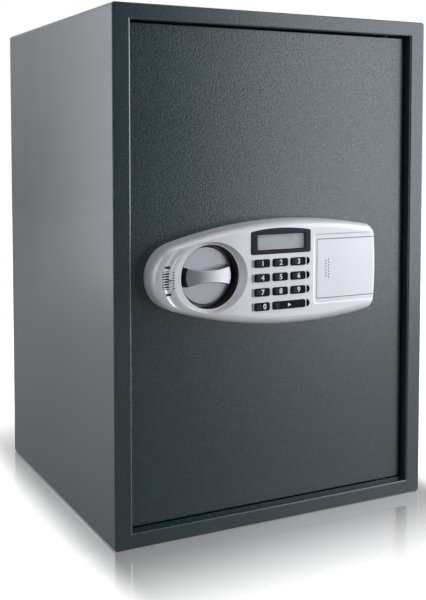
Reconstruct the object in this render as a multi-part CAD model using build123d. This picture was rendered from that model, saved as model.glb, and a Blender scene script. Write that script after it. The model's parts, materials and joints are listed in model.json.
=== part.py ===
from build123d import *
import math
import os

# Furniture safe with an electronic lock, door closed and bolts drawn in.
# Millimetres. +X is right, -Y is the front, +Z is up.
# The origin is the centre of the cabinet's underside.
# The lock is drawn about its own centre, in X and Z, and then placed on the door.

# Cabinet
CABINET_WIDTH = 350.0
CABINET_DEPTH = 330.0
CABINET_HEIGHT = 500.0
BODY_SHEET = 2.0
BODY_CORNER = 3.0
ANCHOR_RADIUS = 5.0
ANCHOR_SPACING = 200.0
BACK_ANCHOR_HEIGHT = 250.0

# Front frame: a flange round the door, folded back into a return
FRAME_SHEET = 2.0
FLANGE_SIDE = 17.5
FLANGE_TOP = 15.0
FLANGE_BOTTOM = 14.5
RETURN_DEPTH = 40.0
FLANGE_BEND = 1.9
FLANGE_EDGE = 1.2

# Door plate in its opening
DOOR_RECESS = 9.0
DOOR_SHEET = 4.0
DOOR_GAP_SIDE = 2.0
DOOR_GAP_TOP = 1.3
DOOR_GAP_BOTTOM = 2.5
SILL_LIP_SHEET = 1.0
SILL_LIP_BEFORE_DOOR = 0.5
SILL_LIP_UNDER_DOOR = 0.6
DOOR_CORNER = 1.0
DOOR_EDGE = 0.8
STOP_GAP = 0.3
STOP_SHEET = 2.0
STOP_WIDTH = 10.0
STOP_LENGTH = 30.0
STOP_FROM_END = 36.0

# Hinges
HINGE_INSET = 19.5
HINGE_BEHIND_FACE = 7.5
PIN_RADIUS = 3.0
PIN_IN_BLOCK = 26.0
HINGE_BLOCK_WIDTH = 20.0
HINGE_BLOCK_DEPTH = 11.0
HINGE_BLOCK_HEIGHT = 40.0
BUSH_WIDTH = 16.0
BUSH_DEPTH = 14.0
BUSH_HEIGHT = 8.0
WASHER_RADIUS = 6.5

# Shelf, rails and mat
SHELF_HEIGHT = 250.0
SHELF_SHEET = 1.5
SHELF_LIP = 18.0
SHELF_FRONT_SPACE = 80.0
SHELF_BACK_SPACE = 3.0
SHELF_SIDE_SPACE = 2.0
RAIL_SIZE = 12.0
RAIL_SHEET = 1.5
RAIL_LENGTH = 180.0
MAT_THICKNESS = 3.0
MAT_MARGIN = 3.0
MAT_HOLE = 12.0

# Clearances
PIN_FIT = 0.05
BORE_FIT = 0.1
MOULD_GAP = 0.2
TOUCH_GAP = 0.3

# Where the lock sits on the door: its centre's height, and its distance from the door's left edge
LOCK_HEIGHT = 250.0
LOCK_FROM_EDGE = 155.5

# Lock panel on the door
PANEL_DEPTH = 29.0
PANEL_LEFT = -142.0
PANEL_RIGHT = 102.5
PANEL_HALF_HEIGHT = 50.3
PANEL_CROWN_X = 12.0
PANEL_LONG_ARC = 455.0
PANEL_END_ARC = 400.0
PANEL_CORNER = 13.0
PANEL_WALL = 2.5
PANEL_ROUNDING = 8.0
SLOPE_START_X = -50.0
SLOPE_ARC = 451.0
BOSS_RADIUS = 4.0
BOSS_LEFT_OF_DISPLAY = 5.5
BOSS_FROM_RIGHT = 18.5
BOSS_FROM_CROWN = 9.8
BOSS_FROM_CORNER = 13.8
BOSS_FROM_NOSE = 13.0
SCREW_RADIUS = 1.6
SCREW_HEAD_RADIUS = 3.2
SCREW_HEAD_HEIGHT = 1.8
SCREW_LENGTH = 12.0

# Raised lip at the panel's rounded end, behind which a shallow valley runs
VALLEY_CENTRE_X = -94.3
VALLEY_ARC = 35.2
VALLEY_TUBE = 5.0
VALLEY_DEPTH = 1.8
VALLEY_TILT = 14.5

# Knob and its well
KNOB_X = -84.0
WELL_MOUTH = (38.5, 34.0)
WELL_MOUTH_SHIFT = -2.0
WELL_LEDGE = (34.75, 31.5)
WELL_LEDGE_SHIFT = -2.75
WELL_LEDGE_DEPTH = 7.0
WELL_RADIUS = 30.3
WELL_DEPTH = 21.5
WELL_SKIN = 2.0
KNOB_RADIUS = 27.5
KNOB_FACE_DEPTH = 17.0
KNOB_THICKNESS = 3.8
GRIP_HEIGHT = 9.6
GRIP_WAIST = 11.5
GRIP_END = 22.0
GRIP_CROWN = 120.0
GRIP_EDGE = 0.7
HUB_RADIUS = 8.0
SHAFT_RADIUS = 4.0
SHAFT_IN_KNOB = 4.0
SHAFT_BUSH_RADIUS = 8.0
SHAFT_BUSH_FLANGE = 10.0
SHAFT_BUSH_LIP = 1.0

# Display
DISPLAY_LEFT = -44.5
DISPLAY_RIGHT = 22.0
DISPLAY_BOTTOM = 19.0
DISPLAY_SHOULDER = 40.5
DISPLAY_TOP = 43.5
DISPLAY_CORNER = 2.0
DISPLAY_PROUD = 0.6
DISPLAY_LIP = 1.0
DISPLAY_LIP_DROP = 2.0
WINDOW_CENTRE_X = -10.75
WINDOW_CENTRE_Z = 30.25
WINDOW_WIDTH = 52.5
WINDOW_HEIGHT = 14.5
WINDOW_SINK = 1.0
WINDOW_GLASS = 1.6
WINDOW_BEVEL = 0.8

# Keys
KEY_WIDTH = 16.7
KEY_HEIGHT = 7.5
KEY_CORNER = 1.6
KEY_PROUD = 1.2
KEY_TRAVEL = 1.0
KEY_FLANGE = 0.7
KEY_FLANGE_SHEET = 1.0
KEY_EDGE = 0.6
KEY_STEM = 2.0
KEY_GAP = 0.25
KEY_PITCH_X = 20.05
KEY_PITCH_Z = 13.77
KEY_MIDDLE_X = -12.35
KEY_TOP_ROW = 10.3
KEY_ROWS = 4
SCOOP_RADIUS = 4.1
SCOOP_DEPTH = 2.0
SCOOP_GAP_LEFT = 0.5
SCOOP_GAP_RIGHT = 1.4

# Keypad board behind the front wall
BOARD_DEPTH = 8.0
BOARD_SHEET = 1.6
BOARD_PAST_DISPLAY_LEFT = 0.5
BOARD_PAST_DISPLAY_RIGHT = 2.0
BOARD_PAST_DISPLAY_TOP = 1.5
BOARD_BELOW_KEYS = 5.7
CONNECTOR_WIDTH = 12.0
CONNECTOR_HEIGHT = 8.0
CONNECTOR_DEPTH = 5.0
BOARD_POST_RADIUS = 1.5
DOME_HEIGHT = 1.2
DOME_RADIUS = 3.0
DOME_SHEET = 0.4

# Battery cover, tray and cells
COVER_LEFT = 30.0
COVER_BOTTOM = -27.7
COVER_TOP = 30.5
COVER_CORNER = 2.0
COVER_SKIRT = 14.0
COVER_GAP = 0.7
COVER_STEP = 0.6
COVER_STEP_SLOPE = 1.2
COVER_STEP_MARGIN_Z = 4.2
COVER_STEP_MARGIN_X = 3.1
COVER_TRAVEL = 8.0
HOOK_SHEET = 1.2
HOOK_PLAY = 1.0
HOOK_INSETS = (6.0, 40.0)
HOOK_RAIL_REACH = 1.2
HOOK_RAIL_SEAT = 2.0
CELL_RADIUS = 6.9
CELL_LENGTH = 48.5
CELL_PITCH = 13.9
CELL_NUB_RADIUS = 2.6
CELL_NUB = 1.5
CELL_COUNT = 4
CELL_EDGE = 0.6
CONTACT_SPACE = 8.0
CONTACT_SHEET = 0.5
TRAY_WALL = 1.0
TRAY_FLOOR = 1.2
TRAY_INSET = 4.0

# Locking bolts and their carriage
BOLT_RADIUS = 9.0
BOLT_SPREAD = 70.0
BOLT_BEHIND_DOOR = 14.5
BOLT_END_X = -155.0
BOLT_TRAVEL = 14.0
BOLT_HOLE_SPACE = 1.0
BOLT_SPIGOT = 3.0
BOLT_CHAMFER = 1.2
CARRIAGE_SHEET = 3.0
CARRIAGE_BEHIND_DOOR = 5.5
CARRIAGE_FLANGE_X = -130.0
CARRIAGE_FLANGE_DEPTH = 18.5
CARRIAGE_BAR = 40.0
CARRIAGE_HALF_HEIGHT = 85.0
ARM_RIGHT_X = -34.0
ARM_BOTTOM = -18.0
ARM_TOP = 22.0
TOOTH_SPARE = 3.0
TOOTH_RAMP = 4.0
GUIDE_PLATE_X = -148.0
GUIDE_SHEET = 3.0
GUIDE_FOOT = 12.0
GUIDE_FOOT_SHEET = 2.0
GUIDE_REACH = 26.0
STUD_X = -115.0
STUD_SPREAD = 45.0
STUD_RADIUS = 4.0
STUD_SHOULDER = 7.0
STUD_CAP_RADIUS = 7.5
STUD_CAP = 4.0
STUD_NUT_ACROSS = 12.8
NUT_ACROSS = 10.0
NUT_HEIGHT = 5.0

# Drive cam: its pin swings the same angle either side of the top
KNOB_TURN = 90.0
DRIVE_PIN_RADIUS = 2.5
DRIVE_SLOT_SPACE = 0.5
CAM_SHEET = 4.0
CAM_GAP = 0.5
CAM_RIM = 2.0
DRIVE_PIN_REACH = 0.8

# Solenoid with its plunger pointing up at the carriage tooth
SOLENOID_X = -48.0
SOLENOID_BEHIND_DOOR = 8.5
SOLENOID_BOTTOM = -71.0
COIL_RADIUS = 6.5
COIL_HEIGHT = 22.0
SOLENOID_SHEET = 1.5
SOLENOID_WIDTH = 18.0
PLUNGER_RADIUS = 3.0
PLUNGER_IN_COIL = 15.0
PLUNGER_TRAVEL = 5.0
PLUNGER_TIP_GAP = 1.0
COLLAR_RADIUS = 5.5
COLLAR_RISE = 7.0
COLLAR_SHEET = 1.2
SPRING_WIRE = 0.3
SPRING_RADIUS = 4.3
SPRING_TURNS = 4

# Control board, wiring and posts on the door
CONTROL_WIDTH = 72.0
CONTROL_HEIGHT = 50.0
CONTROL_BELOW_OVERRIDE = 14.5
CONTROL_BEHIND_DOOR = 12.0
# Each component's centre from the board's lower left corner, then its width, height and depth
CONTROL_COMPONENTS = ((26.0, 27.0, 14.0, 14.0, 2.0), (52.0, 30.0, 16.0, 12.0, 10.0),
                      (26.0, 11.0, 8.0, 6.0, 7.0), (56.0, 12.0, 20.0, 7.0, 3.0))
POST_RADIUS = 3.0
POST_MARGIN = 1.0
POST_FROM_LEFT = 14.0
HARNESS_RADIUS = 2.0
HARNESS_BEFORE_BOARD = 3.5
CONNECTOR_WALL = 1.5
HARNESS_X = -10.0
HARNESS_RUN = 14.0
HARNESS_BELOW_BOARD_TOP = 5.5
HARNESS_BEND = 7.0
HARNESS_HOLE = 5.0

# Override lock behind the battery tray
OVERRIDE_X = 62.0
OVERRIDE_Z = 0.0
OVERRIDE_BODY = 9.5
OVERRIDE_HEAD = 11.5
OVERRIDE_HEAD_SHEET = 3.0
OVERRIDE_BEHIND_DOOR = 20.0
OVERRIDE_PLUG = 5.0
OVERRIDE_PLUG_PROUD = 1.0
OVERRIDE_NUT_ACROSS = 24.0
OVERRIDE_NUT = 4.0
OVERRIDE_CAM_LENGTH = 20.0
OVERRIDE_CAM_WIDTH = 11.0
OVERRIDE_CAM_SHEET = 2.5
KEYWAY = (1.6, 6.0, 12.0)

# Lock cover inside the door
LOCK_COVER = (-150.0, 90.0, -100.0, 100.0)
LOCK_COVER_DEPTH = 40.0
LOCK_COVER_SHEET = 1.2
LOCK_COVER_CORNER = 4.0
COVER_POST_RADIUS = 4.0
COVER_POST_INSET = 9.0
COVER_SCREW_HEAD = 3.5
COVER_SCREW_RADIUS = 1.8
COVER_SCREW_LENGTH = 10.0
RESET_X = 70.0
RESET_Z = 55.0
RESET_BODY = 6.5
RESET_BUTTON = 3.5
RESET_BUTTON_LENGTH = 12.0
RESET_BUTTON_EDGE = 0.8
RESET_BEZEL_SHEET = 2.0
RESET_BEZEL = 8.0
RESET_DEPTH = 16.0
RESET_PROUD = 4.0
RESET_TRAVEL = 2.0

# Planes that follow from the sizes above
FRAME_FRONT = -CABINET_DEPTH / 2
CABINET_BACK = CABINET_DEPTH / 2
OPENING_HALF = CABINET_WIDTH / 2 - FLANGE_SIDE
OPENING_TOP = CABINET_HEIGHT - FLANGE_TOP
OPENING_BOTTOM = FLANGE_BOTTOM
DOOR_FRONT = FRAME_FRONT + DOOR_RECESS
DOOR_BACK = DOOR_FRONT + DOOR_SHEET
DOOR_HALF = OPENING_HALF - DOOR_GAP_SIDE
DOOR_TOP = OPENING_TOP - DOOR_GAP_TOP
DOOR_BOTTOM = OPENING_BOTTOM + DOOR_GAP_BOTTOM
HINGE_X = DOOR_HALF - HINGE_INSET
HINGE_Y = DOOR_FRONT + HINGE_BEHIND_FACE
PANEL_FRONT = DOOR_FRONT - PANEL_DEPTH
PANEL_INNER = PANEL_FRONT + PANEL_WALL
WELL_FLOOR = PANEL_FRONT + WELL_DEPTH
KNOB_FACE = PANEL_FRONT + KNOB_FACE_DEPTH
KNOB_BACK = KNOB_FACE + KNOB_THICKNESS
BOARD_FRONT = PANEL_FRONT + BOARD_DEPTH
CARRIAGE_FRONT = DOOR_BACK + CARRIAGE_BEHIND_DOOR
CARRIAGE_BACK = CARRIAGE_FRONT + CARRIAGE_SHEET
BOLT_Y = DOOR_BACK + BOLT_BEHIND_DOOR
BOLT_HEIGHTS = (-BOLT_SPREAD, BOLT_SPREAD)
LOCK_X = LOCK_FROM_EDGE - DOOR_HALF
CAM_FRONT = DOOR_BACK + CAM_GAP
CAM_BACK = CAM_FRONT + CAM_SHEET
DRIVE_RADIUS = BOLT_TRAVEL / 2 / math.sin(math.radians(KNOB_TURN / 2))
DRIVE_PIN_X = KNOB_X + BOLT_TRAVEL / 2
DRIVE_PIN_Z = DRIVE_RADIUS * math.cos(math.radians(KNOB_TURN / 2))
SOLENOID_Y = DOOR_BACK + SOLENOID_BEHIND_DOOR
SOLENOID_TOP = SOLENOID_BOTTOM + 2 * SOLENOID_SHEET + COIL_HEIGHT
TOOTH_BOTTOM = ARM_BOTTOM - PLUNGER_TRAVEL - TOOTH_SPARE
PLUNGER_TIP = TOOTH_BOTTOM - PLUNGER_TIP_GAP
PLUNGER_START = SOLENOID_TOP - SOLENOID_SHEET - PLUNGER_IN_COIL
COLLAR_BOTTOM = SOLENOID_TOP + COLLAR_RISE
CONTROL_LEFT = HARNESS_X + HARNESS_RUN
CONTROL_TOP = OVERRIDE_Z - OVERRIDE_BODY - CONTROL_BELOW_OVERRIDE
CONTROL_BOARD = (CONTROL_LEFT, CONTROL_LEFT + CONTROL_WIDTH, CONTROL_TOP - CONTROL_HEIGHT, CONTROL_TOP)
HARNESS_Z = CONTROL_TOP - HARNESS_BELOW_BOARD_TOP
KEY_LAST_ROW = KEY_TOP_ROW - (KEY_ROWS - 1) * KEY_PITCH_Z
KEYPAD_BOARD = (DISPLAY_LEFT - BOARD_PAST_DISPLAY_LEFT, DISPLAY_RIGHT + BOARD_PAST_DISPLAY_RIGHT,
                KEY_LAST_ROW - KEY_HEIGHT / 2 - BOARD_BELOW_KEYS, DISPLAY_SHOULDER + BOARD_PAST_DISPLAY_TOP)
TRAY_LEFT = COVER_LEFT + TRAY_INSET
LOCK_COVER_BACK = DOOR_BACK + LOCK_COVER_DEPTH
COVER_MIDDLE = (COVER_BOTTOM + COVER_TOP) / 2
HOOK_LENGTH = COVER_TRAVEL - HOOK_PLAY
HOOK_FOOT_FRONT = PANEL_INNER + HOOK_SHEET + MOULD_GAP
TRAY_FRONT = HOOK_FOOT_FRONT + HOOK_SHEET + MOULD_GAP
CELL_Y = TRAY_FRONT + CELL_RADIUS + TOUCH_GAP
TRAY_BACK = CELL_Y + CELL_RADIUS + MOULD_GAP + TRAY_FLOOR
TRAY_INSIDE = CELL_LENGTH + CELL_NUB + CONTACT_SPACE
TRAY_HALF = (CELL_PITCH * (CELL_COUNT - 1)) / 2 + CELL_RADIUS + MOULD_GAP / 2 + TRAY_WALL


# Solids given by where their faces and axes lie

def block(x0, x1, y0, y1, z0, z1):
    centre = Pos((x0 + x1) / 2, (y0 + y1) / 2, (z0 + z1) / 2)
    return centre * Box(x1 - x0, y1 - y0, z1 - z0)


def rod_x(x0, x1, y, z, radius):
    return Pos((x0 + x1) / 2, y, z) * Rot(0, 90, 0) * Cylinder(radius, x1 - x0)


def rod_y(x, y0, y1, z, radius):
    return Pos(x, (y0 + y1) / 2, z) * Rot(90, 0, 0) * Cylinder(radius, y1 - y0)


def rod_z(x, y, z0, z1, radius):
    return Pos(x, y, (z0 + z1) / 2) * Cylinder(radius, z1 - z0)


def front_plane(y):
    """A plane facing the front, drawn on in X and Z."""
    return Plane(origin=(0, y, 0), x_dir=(1, 0, 0), z_dir=(0, -1, 0))


def prism_y(outline, y0, y1):
    return extrude(front_plane(y1) * outline, amount=y1 - y0, dir=(0, -1, 0))


def prism_z(outline, z0, z1):
    return extrude(Plane.XY.offset(z0) * outline, amount=z1 - z0, dir=(0, 0, 1))


def rounded_rectangle(x0, x1, z0, z1, corner):
    return Pos((x0 + x1) / 2, (z0 + z1) / 2) * RectangleRounded(x1 - x0, z1 - z0, corner)


def rounded_block(x0, x1, y0, y1, z0, z1, corner):
    return prism_y(rounded_rectangle(x0, x1, z0, z1, corner), y0, y1)


def hexagon_y(x, y0, y1, z, across):
    return prism_y(Pos(x, z) * RegularPolygon(across / 2, 6, major_radius=False), y0, y1)


def hexagon_x(x0, x1, y, z, across):
    flat = RegularPolygon(across / 2, 6, major_radius=False)
    return Pos(x0, y, z) * Rot(0, 90, 0) * extrude(flat, amount=x1 - x0)


def group(solids):
    return Compound(children=[s if isinstance(s, Solid) else s.solid() for s in solids])


def front_outer_edges(shape):
    """The outer edges of the frontmost flat face."""
    return shape.faces().sort_by(Axis.Y)[0].outer_wire().edges()


# Cabinet

def cabinet_section(inset):
    corner = BODY_CORNER - inset
    half = CABINET_WIDTH / 2 - inset
    return rounded_rectangle(-half, half, inset, CABINET_HEIGHT - inset, corner)


def anchor_positions():
    return (-ANCHOR_SPACING / 2, ANCHOR_SPACING / 2)


def body_wrap():
    wrap_front = FRAME_FRONT + FRAME_SHEET
    wrap = prism_y(cabinet_section(0), wrap_front, CABINET_BACK)
    wrap -= prism_y(cabinet_section(BODY_SHEET), wrap_front - 1, CABINET_BACK + 1)
    for x in anchor_positions():
        wrap -= rod_z(x, 0, -1, BODY_SHEET + 1, ANCHOR_RADIUS)
    return wrap


def back_panel():
    panel = prism_y(cabinet_section(BODY_SHEET), CABINET_BACK - BODY_SHEET, CABINET_BACK)
    for x in anchor_positions():
        panel -= rod_y(x, CABINET_BACK - BODY_SHEET - 1, CABINET_BACK + 1, BACK_ANCHOR_HEIGHT, ANCHOR_RADIUS)
    return panel


def opening_block(grow, y0, y1):
    return block(-OPENING_HALF - grow, OPENING_HALF + grow, y0, y1,
                 OPENING_BOTTOM - grow, OPENING_TOP + grow)


def front_frame():
    return_end = FRAME_FRONT + RETURN_DEPTH
    frame = prism_y(cabinet_section(0), FRAME_FRONT, FRAME_FRONT + FRAME_SHEET)
    frame += opening_block(FRAME_SHEET, FRAME_FRONT, return_end)
    frame -= opening_block(0, FRAME_FRONT - 1, return_end + 1)
    face = frame.faces().sort_by(Axis.Y)[0]
    frame = fillet(face.inner_wires()[0].edges(), FLANGE_BEND)
    frame = fillet(front_outer_edges(frame), FLANGE_EDGE)
    for z in BOLT_HEIGHTS:
        frame -= rod_x(-OPENING_HALF - FRAME_SHEET - 1, -OPENING_HALF + 1, BOLT_Y, LOCK_HEIGHT + z,
                       BOLT_RADIUS + BOLT_HOLE_SPACE)
    frame -= rod_z(HINGE_X, HINGE_Y, OPENING_BOTTOM - FRAME_SHEET - 1, OPENING_TOP + FRAME_SHEET + 1,
                   PIN_RADIUS + PIN_FIT)
    return frame + sill_lip()


def sill_lip():
    """A strip that stands up from the sill and hides the gap under the door."""
    back = DOOR_FRONT - SILL_LIP_BEFORE_DOOR
    return block(-OPENING_HALF, OPENING_HALF, back - SILL_LIP_SHEET, back,
                 OPENING_BOTTOM - FRAME_SHEET / 2, DOOR_BOTTOM - SILL_LIP_UNDER_DOOR)


def frame_bushes():
    """Blocks welded outside the return, in which the hinge pins turn."""
    bushes = []
    top = OPENING_TOP + FRAME_SHEET
    bottom = OPENING_BOTTOM - FRAME_SHEET
    for z0, z1 in ((top, top + BUSH_HEIGHT), (bottom - BUSH_HEIGHT, bottom)):
        bush = block(HINGE_X - BUSH_WIDTH / 2, HINGE_X + BUSH_WIDTH / 2,
                     HINGE_Y - BUSH_DEPTH / 2, HINGE_Y + BUSH_DEPTH / 2, z0, z1)
        bushes.append(bush - rod_z(HINGE_X, HINGE_Y, z0 - 1, z1 + 1, PIN_RADIUS + PIN_FIT))
    return group(bushes)


def door_stops():
    """Angles welded to the left return, which the door shuts against."""
    stops = []
    stop_face = DOOR_BACK + STOP_GAP
    return_end = FRAME_FRONT + RETURN_DEPTH
    for z0 in (DOOR_BOTTOM + STOP_FROM_END, DOOR_TOP - STOP_FROM_END - STOP_LENGTH):
        z1 = z0 + STOP_LENGTH
        stop = block(-OPENING_HALF, -OPENING_HALF + STOP_WIDTH, stop_face, stop_face + STOP_SHEET, z0, z1)
        stop += block(-OPENING_HALF, -OPENING_HALF + STOP_SHEET, stop_face, return_end, z0, z1)
        stops.append(stop)
    return group(stops)


def shelf():
    half = CABINET_WIDTH / 2 - BODY_SHEET - SHELF_SIDE_SPACE
    front = FRAME_FRONT + SHELF_FRONT_SPACE
    back = CABINET_BACK - BODY_SHEET - SHELF_BACK_SPACE
    top = SHELF_HEIGHT
    plate = block(-half, half, front, back, top - SHELF_SHEET, top)
    for y0 in (front, back - SHELF_SHEET):
        plate += block(-half, half, y0, y0 + SHELF_SHEET, top - SHELF_LIP, top)
    return plate


def shelf_rails():
    """Angles welded to the side walls, on which the shelf lies."""
    rails = []
    middle = (FRAME_FRONT + SHELF_FRONT_SPACE + CABINET_BACK) / 2
    wall = CABINET_WIDTH / 2 - BODY_SHEET
    top = SHELF_HEIGHT - SHELF_SHEET
    for side in (-1, 1):
        y0 = middle - RAIL_LENGTH / 2
        y1 = middle + RAIL_LENGTH / 2
        edge = side * (wall - RAIL_SIZE)
        web = side * (wall - RAIL_SHEET)
        end = side * wall
        rail = block(min(edge, end), max(edge, end), y0, y1, top - RAIL_SHEET, top)
        rail += block(min(web, end), max(web, end), y0, y1, top - RAIL_SIZE, top)
        rails.append(rail)
    return group(rails)


def floor_mat():
    half = CABINET_WIDTH / 2 - BODY_SHEET - MAT_MARGIN
    front = FRAME_FRONT + RETURN_DEPTH + MAT_MARGIN
    back = CABINET_BACK - BODY_SHEET - MAT_MARGIN
    mat = block(-half, half, front, back, BODY_SHEET, BODY_SHEET + MAT_THICKNESS)
    for x in anchor_positions():
        mat -= rod_z(x, 0, 0, BODY_SHEET + MAT_THICKNESS + 1, MAT_HOLE)
    return mat


# Door plate and hinges

def on_door(shape):
    """A shape of the lock, put in its place on the door."""
    solids = [Pos(LOCK_X, 0, LOCK_HEIGHT) * solid for solid in shape.solids()]
    return solids[0] if len(solids) == 1 else group(solids)


def door_plate():
    plate = rounded_block(-DOOR_HALF, DOOR_HALF, DOOR_FRONT, DOOR_BACK, DOOR_BOTTOM, DOOR_TOP, DOOR_CORNER)
    plate = fillet(front_outer_edges(plate), DOOR_EDGE)
    y0 = DOOR_FRONT - 1
    y1 = DOOR_BACK + 1
    holes = [rod_y(KNOB_X, y0, y1, 0, SHAFT_BUSH_RADIUS),
             rod_y(OVERRIDE_X, y0, y1, OVERRIDE_Z, OVERRIDE_BODY),
             rod_y(HARNESS_X, y0, y1, HARNESS_Z, HARNESS_HOLE)]
    holes += [rod_y(x, y0, y1, z, SCREW_RADIUS + MOULD_GAP) for x, z in boss_positions()]
    for hole in holes:
        plate -= on_door(hole)
    return plate


def hinge_ends():
    """Where each pin's block starts and ends, and where the pin's free end is."""
    top_free = OPENING_TOP + FRAME_SHEET + BUSH_HEIGHT - 1
    bottom_free = OPENING_BOTTOM - FRAME_SHEET - BUSH_HEIGHT + 1
    return ((DOOR_TOP - HINGE_BLOCK_HEIGHT, DOOR_TOP, DOOR_TOP - PIN_IN_BLOCK, top_free),
            (DOOR_BOTTOM, DOOR_BOTTOM + HINGE_BLOCK_HEIGHT, bottom_free, DOOR_BOTTOM + PIN_IN_BLOCK))


def hinge_pins():
    return group([rod_z(HINGE_X, HINGE_Y, pin0, pin1, PIN_RADIUS) for _, _, pin0, pin1 in hinge_ends()])


def hinge_blocks():
    blocks = []
    for z0, z1, pin0, pin1 in hinge_ends():
        half = HINGE_BLOCK_WIDTH / 2
        hinge = block(HINGE_X - half, HINGE_X + half, DOOR_BACK, DOOR_BACK + HINGE_BLOCK_DEPTH, z0, z1)
        blocks.append(hinge - rod_z(HINGE_X, HINGE_Y, pin0, pin1, PIN_RADIUS))
    return group(blocks)


def hinge_washer():
    z0 = OPENING_BOTTOM + PIN_FIT
    washer = rod_z(HINGE_X, HINGE_Y, z0, DOOR_BOTTOM, WASHER_RADIUS)
    return washer - rod_z(HINGE_X, HINGE_Y, z0 - 1, DOOR_BOTTOM + 1, PIN_RADIUS + PIN_FIT)


# Lock panel

def circle_crossing(centre_a, radius_a, centre_b, radius_b):
    """The upper crossing of two circles."""
    ax, az = centre_a
    bx, bz = centre_b
    apart = math.hypot(bx - ax, bz - az)
    along = (radius_a ** 2 - radius_b ** 2 + apart ** 2) / (2 * apart)
    off = math.sqrt(radius_a ** 2 - along ** 2)
    ux = (bx - ax) / apart
    uz = (bz - az) / apart
    crossings = [(ax + along * ux - s * off * uz, az + along * uz + s * off * ux) for s in (-1, 1)]
    return max(crossings, key=lambda point: point[1])


def panel_outline(inset):
    """Two long arcs, a round nose tangent to both and a bulged right end."""
    long_arc = PANEL_LONG_ARC - inset
    half = PANEL_HALF_HEIGHT - inset
    left = PANEL_LEFT + inset
    right = PANEL_RIGHT - inset
    drop = PANEL_LONG_ARC - PANEL_HALF_HEIGHT
    reach = PANEL_CROWN_X - left
    nose = (long_arc ** 2 - drop ** 2 - reach ** 2) / (2 * (long_arc - reach))
    nose_x = left + nose
    stretch = long_arc / (long_arc - nose)
    touch = (PANEL_CROWN_X + (nose_x - PANEL_CROWN_X) * stretch, drop * stretch - drop)
    end_arc = PANEL_END_ARC - inset
    corner = circle_crossing((PANEL_CROWN_X, -drop), long_arc, (right - end_arc, 0), end_arc)
    below = [(x, -z) for x, z in (touch, corner)]
    line = ThreePointArc(below[0], (left, 0), touch)
    line += ThreePointArc(touch, (PANEL_CROWN_X, half), corner)
    line += ThreePointArc(corner, (right, 0), below[1])
    line += ThreePointArc(below[1], (PANEL_CROWN_X, -half), below[0])
    face = make_face(line)
    sharp = face.vertices().sort_by(Axis.X)[-2:]
    return fillet(sharp, PANEL_CORNER - inset)


def slope_profile(inset):
    """Seen from above: flat at the right, bending back towards the round end."""
    front = PANEL_FRONT + inset
    far = PANEL_LEFT - 10
    radius = SLOPE_ARC - inset
    drop = radius - math.sqrt(radius ** 2 - (SLOPE_START_X - far) ** 2)
    half_way = (SLOPE_START_X + far) / 2
    half_drop = radius - math.sqrt(radius ** 2 - (SLOPE_START_X - half_way) ** 2)
    line = Line((PANEL_RIGHT + 10, DOOR_FRONT), (PANEL_RIGHT + 10, front))
    line += Line((PANEL_RIGHT + 10, front), (SLOPE_START_X, front))
    line += ThreePointArc((SLOPE_START_X, front), (half_way, front + half_drop), (far, front + drop))
    line += Line((far, front + drop), (far, DOOR_FRONT))
    line += Line((far, DOOR_FRONT), (PANEL_RIGHT + 10, DOOR_FRONT))
    return make_face(line)


def panel_form(inset):
    """The panel's outer form, or the form that lies a wall thickness inside it."""
    form = prism_y(panel_outline(inset), PANEL_FRONT - 1, DOOR_FRONT)
    past_edge = PANEL_HALF_HEIGHT + 10
    form = form & prism_z(slope_profile(inset), -past_edge, past_edge)
    return fillet([edge for edge in form.edges() if on_front_rim(edge)], PANEL_ROUNDING - inset)


def on_front_rim(edge):
    """True of the edges round the front, not of the base or of the line where the slope starts."""
    start = edge @ 0
    end = edge @ 1
    touches_base = max(start.Y, end.Y) > DOOR_FRONT - 0.01
    across_front = abs(start.X - SLOPE_START_X) < 0.01 and abs(end.X - SLOPE_START_X) < 0.01
    return not touches_base and not across_front


def ellipse_face(half_sizes, shift, y):
    return front_plane(y) * (Pos(KNOB_X + shift, 0) * Ellipse(*half_sizes))


def crater():
    """The funnel round the knob: an oval mouth, a ledge and the round well."""
    ledge = PANEL_FRONT + WELL_LEDGE_DEPTH
    mouth = ellipse_face(WELL_MOUTH, WELL_MOUTH_SHIFT, PANEL_FRONT - 1)
    base = ellipse_face(WELL_LEDGE, WELL_LEDGE_SHIFT, ledge)
    funnel = loft([mouth, base])
    return funnel + rod_y(KNOB_X, ledge - 1, WELL_FLOOR, 0, WELL_RADIUS)


def crater_wall():
    """The moulded cup that stands behind the front wall round the crater."""
    ledge = PANEL_FRONT + WELL_LEDGE_DEPTH
    mouth_size = tuple(size + WELL_SKIN for size in WELL_MOUTH)
    ledge_size = tuple(size + WELL_SKIN for size in WELL_LEDGE)
    mouth = ellipse_face(mouth_size, WELL_MOUTH_SHIFT, PANEL_FRONT - 1)
    base = ellipse_face(ledge_size, WELL_LEDGE_SHIFT, ledge)
    collar = loft([mouth, base])
    collar += prism_y(Pos(KNOB_X + WELL_LEDGE_SHIFT, 0) * Ellipse(*ledge_size), ledge, ledge + WELL_SKIN)
    return collar + rod_y(KNOB_X, ledge, WELL_FLOOR + WELL_SKIN, 0, WELL_RADIUS + WELL_SKIN)


def valley():
    """A ring groove, tilted so that it fades out away from the round end."""
    left = VALLEY_CENTRE_X - VALLEY_ARC
    surface = PANEL_FRONT + SLOPE_ARC - math.sqrt(SLOPE_ARC ** 2 - (SLOPE_START_X - left) ** 2)
    tilt = math.radians(VALLEY_TILT)
    centre_y = surface - (VALLEY_TUBE - VALLEY_DEPTH) - VALLEY_ARC * math.sin(tilt)
    ring = Torus(VALLEY_ARC, VALLEY_TUBE)
    return Pos(VALLEY_CENTRE_X, centre_y, 0) * Rot(0, 0, -VALLEY_TILT) * Rot(90, 0, 0) * ring


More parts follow.
